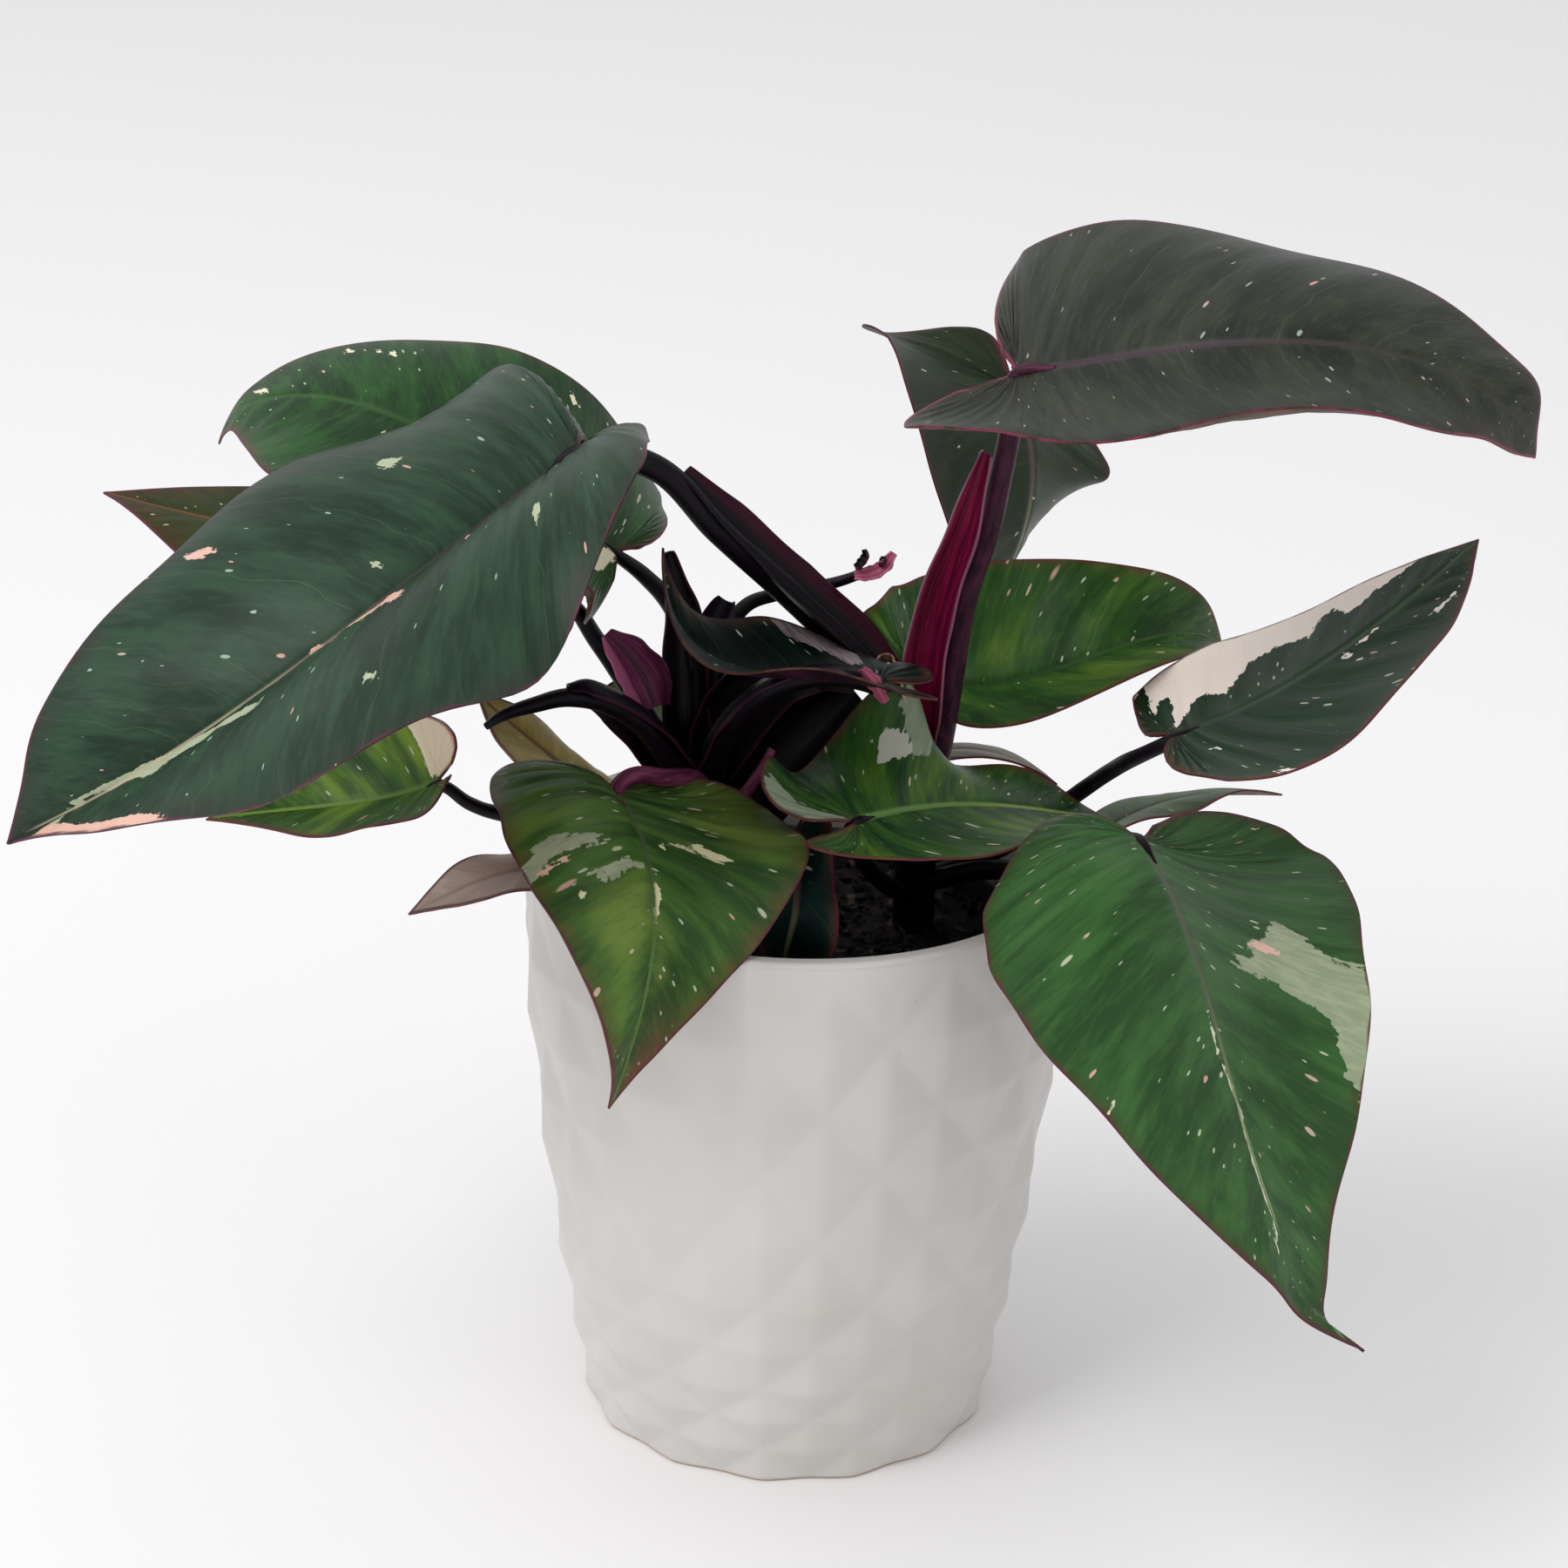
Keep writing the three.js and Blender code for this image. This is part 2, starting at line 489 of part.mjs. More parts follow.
/** Shape of one blade: places a share along and across it in space. */
class Blade {
  constructor(spec) {
    this.spec = spec;
    this.neck = spec.neck ?? [0, 0];
    this.base = new THREE.Vector3(...spec.base);
    this.chord = new THREE.Vector3(...spec.tip).sub(this.base);
    this.length = this.chord.length();
    const along = this.chord.clone().normalize();
    const level = new THREE.Vector3().crossVectors(along, new THREE.Vector3(0, 0, 1)).normalize();
    const up = new THREE.Vector3().crossVectors(level, along);
    const roll = THREE.MathUtils.degToRad(spec.roll);
    this.side = level.clone().multiplyScalar(Math.cos(roll)).addScaledVector(up, Math.sin(roll));
    this.normal = up.clone().multiplyScalar(Math.cos(roll)).addScaledVector(level, -Math.sin(roll));
  }

  /** Midrib point, direction, sideways direction and upper-face direction at a share t. */
  spine(t) {
    const { arch, skew, sway, twist } = this.spec;
    const rise = arch * (1 + skew);
    const fall = arch * (1 - skew);
    const q = 1 - t;
    const point = this.base.clone().addScaledVector(this.chord, t)
      .addScaledVector(this.normal, 3 * t * q * q * rise + 3 * t * t * q * fall)
      .addScaledVector(this.side, 4 * t * q * sway);
    const tangent = this.chord.clone()
      .addScaledVector(this.normal, 3 * rise * (q * q - 2 * t * q) + 3 * fall * (2 * t * q - t * t))
      .addScaledVector(this.side, 4 * (1 - 2 * t) * sway)
      .normalize();
    const face = new THREE.Vector3().crossVectors(this.side, tangent).normalize();
    const angle = THREE.MathUtils.degToRad(twist) * t;
    const across = this.side.clone().multiplyScalar(Math.cos(angle))
      .addScaledVector(face, Math.sin(angle));
    const upper = face.clone().multiplyScalar(Math.cos(angle))
      .addScaledVector(this.side, -Math.sin(angle));
    return { point, tangent, across, upper };
  }

  /** Point at a share along (negative on the lobes) and across, on side 0 or 1. */
  at(along, across, k) {
    const s = this.spec;
    const sign = k === 0 ? 1 : -1;
    const behind = Math.max(-along, 0) / LOBE_LENGTH;
    const near = THREE.MathUtils.smoothstep(NECK_END - along, 0, NECK_END);
    const frame = this.spine(Math.max(along, 0));
    const reach = across * s.width * (1 + s.flare[k] * Math.min(1, behind) + this.neck[k] * near);
    const angle = THREE.MathUtils.degToRad(s.fold[k] + s.curl[k] * across);
    const turn = (2 * Math.PI * s.ripples * (along + LOBE_LENGTH)) / (1 + LOBE_LENGTH);
    const ripple = s.wave[k] * Math.min(1, across) ** 2 * Math.sin(turn + s.phase[k]);
    return frame.point
      .addScaledVector(frame.tangent, Math.min(along, 0) * s.lobe[k] * this.length)
      .addScaledVector(frame.across, sign * reach * Math.cos(angle))
      .addScaledVector(frame.upper, reach * Math.sin(angle) + s.lift[k] * behind ** 2 + ripple);
  }
}

/** Where along the midrib the side vein of margin share u starts. */
function veinFoot(u) {
  const x = u * (VEIN_FEET.length - 1);
  const i = Math.min(Math.floor(x), VEIN_FEET.length - 2);
  return VEIN_FEET[i] + (VEIN_FEET[i + 1] - VEIN_FEET[i]) * (x - i);
}

/** A blade as a thin solid: rows follow the side veins from the midrib to the margin. */
function bladeGeometry(spec, thickness, grow = 0) {
  const blade = new Blade(spec);
  const { rows, steps } = blade.length > LARGE_BLADE ? LARGE_GRID : SMALL_GRID;
  const margin = new THREE.SplineCurve(HALF_MARGIN.map(([x, y]) => new THREE.Vector2(x, y)));
  const middle = new Facets();
  const place = (p) => middle.add(p.x, p.y, p.z);
  const base = place(blade.at(0, 0, 0));
  const tip = place(blade.at(1, 0, 0));
  const ribs = [];
  for (let k = 0; k < rows; k += 1) {
    const foot = veinFoot(k / rows);
    ribs.push(foot > 0 ? place(blade.at(foot, 0, 0)) : base);
  }
  for (let side = 0; side < 2; side += 1) {
    let last = null;
    for (let k = 0; k <= rows; k += 1) {
      const u = k / rows;
      const foot = veinFoot(u);
      const edge = margin.getPoint(u);
      const row = [k < rows ? ribs[k] : tip];
      for (let i = 1; i <= steps; i += 1) {
        const r = i / steps;
        const along = foot + (edge.x - foot) * r ** VEIN_SWEEP;
        row.push(k < rows ? place(blade.at(along, edge.y * r, side)) : tip);
      }
      for (let i = 0; last && i < steps; i += 1) {
        const [a, b, c, d] = [last[i], last[i + 1], row[i + 1], row[i]];
        if (side === 0) {
          middle.face(a, b, c);
          middle.face(a, c, d);
        } else {
          middle.face(a, c, b);
          middle.face(a, d, c);
        }
      }
      last = row;
    }
  }
  return thicken(middle, thickness, grow);
}

/** Gives a sheet of triangles a thickness, half to each side, and walls round its edge. */
function thicken(sheet, thickness, grow) {
  const flat = sheet.geometry();
  flat.computeVertexNormals();
  const normals = flat.getAttribute('normal');
  const count = sheet.points.length / 3;
  const open = new Map();
  for (let t = 0; t < sheet.triangles.length; t += 3) {
    const [a, b, c] = sheet.triangles.slice(t, t + 3);
    [[a, b], [b, c], [c, a]].forEach(([from, to]) => {
      if (!open.delete(`${to} ${from}`)) {
        open.set(`${from} ${to}`, [from, to]);
      }
    });
  }
  const at = (i) => new THREE.Vector3(...sheet.points.slice(i * 3, i * 3 + 3));
  const normal = (i) => new THREE.Vector3().fromBufferAttribute(normals, i);
  const outward = new Map();
  open.forEach(([from, to]) => {
    const edge = at(to).sub(at(from)).normalize();
    [from, to].forEach((i) => {
      const out = outward.get(i) ?? new THREE.Vector3();
      outward.set(i, out.add(edge.clone().cross(normal(i))));
    });
  });
  const solid = new Facets();
  [0.5, -0.5].forEach((share) => {
    for (let i = 0; i < count; i += 1) {
      const p = at(i).addScaledVector(normal(i), thickness * share);
      if (outward.has(i)) {
        p.addScaledVector(outward.get(i).normalize(), grow);
      }
      solid.add(p.x, p.y, p.z);
    }
  });
  for (let t = 0; t < sheet.triangles.length; t += 3) {
    const [a, b, c] = sheet.triangles.slice(t, t + 3);
    solid.face(a, b, c);
    solid.face(count + a, count + c, count + b);
  }
  open.forEach(([from, to]) => {
    solid.face(from, count + from, count + to);
    solid.face(from, count + to, to);
  });
  return solid.geometry();
}

/** A round stalk along a smooth curve through points, its radius changing end to end. */
function stalk({ blade, points, radius }, widen = 0) {
  const path = points.map((p) => new THREE.Vector3(...p));
  if (blade) {
    const { point, upper } = new Blade(BLADES[blade]).spine(0);
    path.unshift(point.addScaledVector(upper, -STALK_DROP));
  }
  const curve = new THREE.CatmullRomCurve3(path);
  const count = Math.max(2, Math.round(curve.getLength() / STALK_STEP));
  const frames = curve.computeFrenetFrames(count);
  const f = new Facets();
  let last = null;
  for (let i = 0; i <= count; i += 1) {
    const t = i / count;
    const centre = curve.getPointAt(t);
    const r = radius[0] + (radius[1] - radius[0]) * t + widen;
    const ring = [];
    for (let j = 0; j < STALK_SIDES; j += 1) {
      const angle = (2 * Math.PI * j) / STALK_SIDES;
      const p = centre.clone()
        .addScaledVector(frames.normals[i], r * Math.cos(angle))
        .addScaledVector(frames.binormals[i], r * Math.sin(angle));
      ring.push(f.add(p.x, p.y, p.z));
    }
    if (last) {
      f.band(last, ring);
    } else {
      f.fan(f.add(centre.x, centre.y, centre.z), ring, false);
    }
    if (i === count) {
      f.fan(f.add(centre.x, centre.y, centre.z), ring, true);
    }
    last = ring;
  }
  return f.geometry();
}

/** An open channel along a curve, its bottom on the curve, its wings towards facing. */
function sheath({ points, half, facing }, wall = SHEATH_WALL, grow = 0) {
  const curve = new THREE.CatmullRomCurve3(points.map((p) => new THREE.Vector3(...p)));
  const count = (points.length - 1) * SHEATH_STEPS;
  const open = new THREE.Vector3(...facing).normalize();
  const spread = THREE.MathUtils.degToRad(SHEATH_SPREAD);
  const f = new Facets();
  const rings = [];
  for (let i = 0; i <= count; i += 1) {
    const t = i / count;
    const tangent = curve.getTangentAt(t);
    const front = open.clone().addScaledVector(tangent, -open.dot(tangent)).normalize();
    const across = new THREE.Vector3().crossVectors(front, tangent);
    const place = curve.getUtoTmapping(t) * (half.length - 1);
    const k = Math.min(Math.floor(place), half.length - 2);
    const width = half[k] + (half[k + 1] - half[k]) * (place - k);
    const radius = width / Math.sin(spread);
    const centre = curve.getPointAt(t).addScaledVector(front, radius);
    const ring = [];
    for (let j = 0; j <= SHEATH_SLATS * 2 + 1; j += 1) {
      const outer = j <= SHEATH_SLATS;
      const slat = outer ? j : SHEATH_SLATS * 2 + 1 - j;
      const angle = (spread + grow / radius) * ((2 * slat) / SHEATH_SLATS - 1);
      const r = radius + (outer ? wall / 2 : -wall / 2);
      const p = centre.clone()
        .addScaledVector(front, -r * Math.cos(angle))
        .addScaledVector(across, r * Math.sin(angle));
      ring.push(f.add(p.x, p.y, p.z));
    }
    rings.push(ring);
  }
  const last = SHEATH_SLATS * 2 + 1;
  rings.forEach((ring, i) => {
    if (i > 0) {
      f.band(rings[i - 1], ring);
    }
  });
  for (let j = 0; j < SHEATH_SLATS; j += 1) {
    const [a, b] = [rings[0], rings[count]];
    f.face(a[j], a[last - j], a[j + 1]);
    f.face(a[j + 1], a[last - j], a[last - j - 1]);
    f.face(b[j], b[j + 1], b[last - j]);
    f.face(b[j + 1], b[last - j - 1], b[last - j]);
  }
  return f.geometry();
}

function toManifold(geometry) {
  return new wasm.Manifold(new wasm.Mesh({
    numProp: 3,
    vertProperties: new Float32Array(geometry.getAttribute('position').array),
    triVerts: new Uint32Array(geometry.getIndex().array),
  }));
}

function toGeometry(manifold) {
  const mesh = manifold.getMesh();
  const geometry = new THREE.BufferGeometry();
  geometry.setAttribute('position', new THREE.BufferAttribute(mesh.vertProperties, 3));
  geometry.setIndex(new THREE.BufferAttribute(mesh.triVerts, 1));
  return geometry;
}

const part = new THREE.Group();

function addNode(name, geometry, finish) {
  const mesh = new THREE.Mesh(geometry, new THREE.MeshStandardMaterial(finish));
  mesh.name = name;
  part.add(mesh);
}

const rooms = [
  ...Object.values(BLADES).map((spec) => bladeGeometry(spec, BLADE_THICKNESS + GAP * 2, GAP)),
  ...Object.values(OWN_SHEATHS).map((spec) => sheath(spec, SHEATH_WALL + GAP * 2, GAP)),
].map(toManifold);

/** Joins the stalks and sheaths of one shoot and keeps them clear of other pieces. */
function shoot(stalks, sheaths, clear) {
  const pieces = [
    ...Object.values(stalks).map((spec) => stalk(spec)),
    ...Object.values(sheaths).map((spec) => sheath(spec)),
  ].map(toManifold);
  const joined = wasm.Manifold.union(pieces);
  const body = wasm.Manifold.difference([joined, ...clear]);
  return body.decompose().sort((a, b) => b.volume() - a.volume())[0];
}

const leftShoot = shoot(LEFT_STALKS, LEFT_SHEATHS, rooms);
const rightShoot = shoot(RIGHT_STALKS, RIGHT_SHEATHS, rooms);
const holes = [LEFT_STALKS.stem, RIGHT_STALKS.stem].map((stem) => toManifold(stalk(stem, GAP)));
const plantedSoil = wasm.Manifold.difference([toManifold(soil()), ...holes]);

addNode('cachepot', cachepot(), POT_FINISH);
addNode('nursery_pot', nurseryPot(), { color: '#141414', roughness: 0.5, metalness: 0 });
addNode('potting_soil', toGeometry(plantedSoil), { color: '#1d1612', roughness: 0.95 });
addNode('left_shoot', toGeometry(leftShoot), { color: '#2a1222', roughness: 0.4 });
addNode('right_shoot', toGeometry(rightShoot), { color: '#23121f', roughness: 0.4 });
Object.entries(OWN_SHEATHS).forEach(([name, spec]) => {
  addNode(name, sheath(spec), { color: spec.colour, roughness: 0.4 });
});
Object.entries(BLADES).forEach(([name, spec]) => {
  const finish = { color: spec.colour, roughness: LEAF_ROUGHNESS, metalness: 0 };
  addNode(name, bladeGeometry(spec, BLADE_THICKNESS), finish);
});

export default part;
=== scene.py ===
"""Looks of a potted blushing philodendron: leaves, stalks, sheaths, cachepot and soil."""

import logging
import math
import random
from dataclasses import dataclass, field
from enum import Enum

import bpy
import numpy as np
from mathutils import Matrix, Vector
from mathutils.bvhtree import BVHTree


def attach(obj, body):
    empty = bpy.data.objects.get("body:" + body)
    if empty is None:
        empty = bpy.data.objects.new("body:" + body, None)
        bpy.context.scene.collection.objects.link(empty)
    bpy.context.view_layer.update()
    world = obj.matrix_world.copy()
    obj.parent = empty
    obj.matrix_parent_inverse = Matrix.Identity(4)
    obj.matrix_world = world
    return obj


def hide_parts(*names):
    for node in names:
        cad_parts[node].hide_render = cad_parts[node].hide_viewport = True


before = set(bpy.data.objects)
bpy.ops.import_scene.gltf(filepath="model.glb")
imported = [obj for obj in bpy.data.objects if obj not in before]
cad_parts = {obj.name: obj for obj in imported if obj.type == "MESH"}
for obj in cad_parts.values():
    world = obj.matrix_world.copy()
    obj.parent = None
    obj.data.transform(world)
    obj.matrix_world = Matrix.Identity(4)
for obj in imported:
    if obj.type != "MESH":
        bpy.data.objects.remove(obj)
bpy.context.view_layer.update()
LOG = logging.getLogger("philodendron")

MM = 0.001
BODY = "root"
Point = tuple[float, float, float]
Pair = tuple[float, float]
Outline = list[Pair]

# Margin of half a blade, and where the side vein of each of its points leaves the midrib.
HALF_MARGIN = np.array([
    [-0.13, 0.12], [-0.2, 0.28], [-0.205, 0.5], [-0.13, 0.76], [0.02, 0.94], [0.2, 1.0],
    [0.42, 0.9], [0.63, 0.66], [0.82, 0.34], [0.93, 0.13], [1.0, 0.0],
])
VEIN_FEET = np.array([0, 0, 0, 0, 0, 0.06, 0.2, 0.42, 0.68, 0.87, 1.0])
VEIN_SWEEP = 1.3
LOBE_LENGTH = 0.2
NECK_END = 0.5
RIB_CROWDING = 0.32
STALK_DROP = 1.2
SHEATH_SPREAD = 80.0

# How the dressed cachepot brings out its diamonds, where the rays that measure the plain one
# start, and the marks of rings that don't follow a measured row.
DIAMOND_GAIN = 0.45
UPRIGHT_LOSS = 0.3
RAY_START = 0.2
FREE_RING = -1
FOOT_RING = -2


def linear(code: str) -> tuple[float, float, float, float]:
    """Turns a screen colour into scene-linear values.

    Args:
        code: six hexadecimal digits after a hash sign.

    Returns:
        Red, green, blue and an alpha of one.
    """
    parts = [int(code[i:i + 2], 16) / 255 for i in (1, 3, 5)]
    red, green, blue = (c / 12.92 if c <= 0.04045 else ((c + 0.055) / 1.055) ** 2.4 for c in parts)
    return red, green, blue, 1.0


def unit(vectors: np.ndarray) -> np.ndarray:
    """Scales vectors along the last axis to length one."""
    return vectors / np.maximum(np.linalg.norm(vectors, axis=-1, keepdims=True), 1e-12)


def catmull(points: np.ndarray, share: np.ndarray) -> np.ndarray:
    """Uniform Catmull-Rom curve with clamped ends.

    Args:
        points: control points, one a row.
        share: places on the curve from 0 to 1.

    Returns:
        The points of the curve at those places.
    """
    last = len(points) - 1
    x = np.clip(share, 0, 1) * last
    i = np.minimum(x.astype(int), last - 1)
    f = (x - i)[..., None]
    before = points[np.maximum(i - 1, 0)]
    start, end = points[i], points[i + 1]
    after = points[np.minimum(i + 2, last)]
    v0, v1 = (end - before) / 2, (after - start) / 2
    return ((2 * start - 2 * end + v0 + v1) * f ** 3
            + (-3 * start + 3 * end - 2 * v0 - v1) * f ** 2 + v0 * f + start)


def resample(points: list[Point], count: int) -> tuple[np.ndarray, np.ndarray]:
    """Spreads points evenly along a smooth curve.

    Args:
        points: control points in millimetres.
        count: how many points to return.

    Returns:
        The points, and the share of the control points' list each one has reached.
    """
    rail = np.array(points, float)
    rail = np.vstack([2 * rail[0] - rail[1], rail, 2 * rail[-1] - rail[-2]])
    inner = len(points) - 1
    share = np.linspace(1, 1 + inner, 60 * inner + 1) / (inner + 2)
    dense = catmull(rail, share)
    length = np.concatenate([[0], np.cumsum(np.linalg.norm(np.diff(dense, axis=0), axis=1))])
    at = np.linspace(0, length[-1], count)
    place = np.interp(at, length, np.linspace(0, 1, len(length)))
    return np.stack([np.interp(at, length, dense[:, k]) for k in range(3)], axis=1), place


def select_only(obj: bpy.types.Object) -> None:
    """Selects one object and makes it active."""
    bpy.ops.object.select_all(action="DESELECT")
    obj.select_set(True)
    bpy.context.view_layer.objects.active = obj


def added(name: str) -> bpy.types.Object:
    """Names the object that the last operator added."""
    obj = bpy.context.view_layer.objects.active
    obj.name = name
    obj.data.name = name
    return obj


def new_grid(name: str, across: int, along: int) -> tuple[bpy.types.Object, np.ndarray, np.ndarray]:
    """Adds a flat grid whose vertices are to be placed on a surface.

    Args:
        name: name of the piece.
        across: faces from x = -1 to 1.
        along: faces from y = 0 to 1.

    Returns:
        The object, and each vertex's place across (-1 to 1) and along (0 to 1).
    """
    bpy.ops.object.select_all(action="DESELECT")
    bpy.ops.mesh.primitive_grid_add(x_subdivisions=across, y_subdivisions=along, size=2)
    obj = added(name)
    flat = read_points(obj)
    return obj, flat[:, 0], (flat[:, 1] + 1) / 2


def read_points(obj: bpy.types.Object) -> np.ndarray:
    """Reads a mesh's vertices as rows of numbers."""
    rows = np.zeros(len(obj.data.vertices) * 3)
    obj.data.vertices.foreach_get("co", rows)
    return rows.reshape(-1, 3)


def write_points(obj: bpy.types.Object, rows: np.ndarray) -> None:
    """Places a mesh's vertices, in metres."""
    obj.data.vertices.foreach_set("co", np.ascontiguousarray(rows, dtype=np.float32).ravel())
    obj.data.update()


def write_corners(obj: bpy.types.Object, name: str, rows: np.ndarray) -> None:
    """Keeps three numbers of each vertex at the corners of its faces.

    Args:
        obj: the mesh object.
        name: name of the attribute.
        rows: three numbers for each vertex.
    """
    layer = obj.data.attributes.new(name, "FLOAT_VECTOR", "CORNER")
    corner = np.zeros(len(obj.data.loops), int)
    obj.data.loops.foreach_get("vertex_index", corner)
    layer.data.foreach_set("vector", np.ascontiguousarray(rows[corner], dtype=np.float32).ravel())


def merge_close(obj: bpy.types.Object, distance: float = 1e-6) -> None:
    """Merges the vertices that lie on each other."""
    select_only(obj)
    bpy.ops.object.mode_set(mode="EDIT")
    bpy.ops.mesh.select_all(action="SELECT")
    bpy.ops.mesh.remove_doubles(threshold=distance)
    bpy.ops.object.mode_set(mode="OBJECT")


def face_outwards(obj: bpy.types.Object) -> None:
    """Turns a closed mesh's faces outwards."""
    select_only(obj)
    bpy.ops.object.mode_set(mode="EDIT")
    bpy.ops.mesh.select_all(action="SELECT")
    bpy.ops.mesh.normals_make_consistent(inside=False)
    bpy.ops.object.mode_set(mode="OBJECT")


def thicken(obj: bpy.types.Object, thickness: float) -> None:
    """Gives a sheet its thickness: the next two finishes go to its back and its edge.

    Args:
        obj: the sheet.
        thickness: in millimetres, half of it on each side.
    """
    select_only(obj)
    wall = obj.modifiers.new("thickness", "SOLIDIFY")
    wall.thickness = thickness * MM
    wall.offset = 0
    wall.material_offset = 1
    wall.material_offset_rim = 2
    bpy.ops.object.modifier_apply(modifier=wall.name)


def smooth(obj: bpy.types.Object, degrees: float = 50) -> None:
    """Shades a mesh smooth except at sharper edges."""
    select_only(obj)
    bpy.ops.object.shade_smooth_by_angle(angle=math.radians(degrees))


def finish_piece(obj: bpy.types.Object, nodes: tuple[str, ...]) -> bpy.types.Object:
    """Hangs a finished piece on the model's body.

    Args:
        obj: the piece, with its place in its mesh.
        nodes: the plain solids that it stands for.

    Returns:
        The piece.
    """
    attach(obj, BODY)
    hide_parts(*nodes)
    LOG.info("%s: %d faces", obj.name, len(obj.data.polygons))
    return obj


class Recipe:
    """Node tree of one finish, written as a chain of sockets."""

    def __init__(self, name: str) -> None:
        """Starts an empty finish with a surface shader."""
        self.material = bpy.data.materials.new(name)
        self.material.use_nodes = True
        self.tree = self.material.node_tree
        self.tree.nodes.clear()
        self.shader = self.tree.nodes.new("ShaderNodeBsdfPrincipled")
        output = self.tree.nodes.new("ShaderNodeOutputMaterial")
        self.tree.links.new(self.shader.outputs["BSDF"], output.inputs["Surface"])

    def put(self, socket, value) -> None:
        """Links a socket to another one, or sets its value."""
        if isinstance(value, bpy.types.NodeSocket):
            self.tree.links.new(value, socket)
        elif isinstance(value, str):
            socket.default_value = linear(value)
        else:
            socket.default_value = value

    def math(self, operation: str, *values) -> bpy.types.NodeSocket:
        """Joins numbers with one operation of the Math node.

        Args:
            operation: the node's operation.
            values: sockets or numbers.

        Returns:
            The result's socket.
        """
        node = self.tree.nodes.new("ShaderNodeMath")
        node.operation = operation
        for socket, value in zip(node.inputs, values):
            self.put(socket, value)
        return node.outputs[0]

    def ease(self, value, low: float, high: float) -> bpy.types.NodeSocket:
        """Maps a number smoothly from 0 at low to 1 at high."""
        node = self.tree.nodes.new("ShaderNodeMapRange")
        node.interpolation_type = "SMOOTHSTEP"
        turned = low > high
        self.put(node.inputs["Value"], value)
        node.inputs["From Min"].default_value = min(low, high)
        node.inputs["From Max"].default_value = max(low, high)
        node.inputs["To Min"].default_value = 1.0 if turned else 0.0
        node.inputs["To Max"].default_value = 0.0 if turned else 1.0
        return node.outputs["Result"]

    def blend(self, share, low, high, mode: str = "MIX") -> bpy.types.NodeSocket:
        """Mixes two colours.

        Args:
            share: how much of the second one shows.
            low: the first colour.
            high: the second colour.
            mode: the Mix node's blend type.

        Returns:
            The colour's socket.
        """
        node = self.tree.nodes.new("ShaderNodeMix")
        node.data_type = "RGBA"
        node.blend_type = mode
        self.put(node.inputs[0], share)
        self.put(node.inputs[6], low)
        self.put(node.inputs[7], high)
        return node.outputs[2]

    def attribute(self, name: str) -> bpy.types.NodeSocket:
        """Reads three numbers kept on the piece."""
        node = self.tree.nodes.new("ShaderNodeAttribute")
        node.attribute_name = name
        return node.outputs["Vector"]

    def place(self) -> bpy.types.NodeSocket:
        """Reads the place on the piece, in metres."""
        return self.tree.nodes.new("ShaderNodeTexCoord").outputs["Object"]

    def split(self, vector) -> tuple:
        """Takes a vector apart."""
        node = self.tree.nodes.new("ShaderNodeSeparateXYZ")
        self.put(node.inputs[0], vector)
        return tuple(node.outputs)

    def vector(self, x, y, z=0.0) -> bpy.types.NodeSocket:
        """Puts three numbers together."""
        node = self.tree.nodes.new("ShaderNodeCombineXYZ")
        for socket, value in zip(node.inputs, (x, y, z)):
            self.put(socket, value)
        return node.outputs[0]

    def noise(self, place, scale: float, detail: float = 2.0, rough: float = 0.5):
        """Soft noise from 0 to 1 around 0.5.

        Args:
            place: where it is read.
            scale: how fine it is.
            detail: how many finer layers it has.
            rough: how strong those are.

        Returns:
            The number's socket.
        """
        node = self.tree.nodes.new("ShaderNodeTexNoise")
        self.put(node.inputs["Vector"], place)
        node.inputs["Scale"].default_value = scale
        node.inputs["Detail"].default_value = detail
        node.inputs["Roughness"].default_value = rough
        return node.outputs["Fac"]

    def cells(self, place, scale: float) -> tuple:
        """Scattered points: the distance to the nearest one, and its own random colour."""
        node = self.tree.nodes.new("ShaderNodeTexVoronoi")
        self.put(node.inputs["Vector"], place)
        node.inputs["Scale"].default_value = scale
        return node.outputs["Distance"], node.outputs["Color"]

    def relief(self, height, depth: float, strength: float = 1.0) -> None:
        """Gives the surface a fine relief.

        Args:
            height: the relief from 0 to 1.
            depth: its depth in millimetres.
            strength: how much of it shows.
        """
        node = self.tree.nodes.new("ShaderNodeBump")
        node.inputs["Strength"].default_value = strength
        node.inputs["Distance"].default_value = depth * MM
        self.put(node.inputs["Height"], height)
        self.tree.links.new(node.outputs["Normal"], self.shader.inputs["Normal"])

    def surface(self, colour, roughness, specular: float = 0.5, coat: float = 0.0) -> None:
        """Sets the shader's own sockets.

        Args:
            colour: base colour.
            roughness: roughness.
            specular: specular level.
            coat: weight of the clear coat.
        """
        self.put(self.shader.inputs["Base Color"], colour)
        self.put(self.shader.inputs["Roughness"], roughness)
        self.shader.inputs["Specular IOR Level"].default_value = specular
        self.shader.inputs["Coat Weight"].default_value = coat
        self.shader.inputs["Coat Roughness"].default_value = 0.25


class Tone(Enum):
    """Soft shades that a leaf shows in places."""

    LIME = 0
    BROWN = 1
    DARK = 2


class Patch(Enum):
    """Kinds of colourless patches, with sharp and jagged edges."""

    CREAM = 0
    PINK = 1
    GREY = 2


@dataclass(frozen=True)
class Spot:
    """A soft shade round one place of a blade."""

    tone: Tone
    at: Pair
    spread: Pair
    strength: float = 1.0


@dataclass(frozen=True)
class Nudge:
    """A soft push, in millimetres, round one place of a blade."""

    at: Pair
    spread: Pair
    by: Point


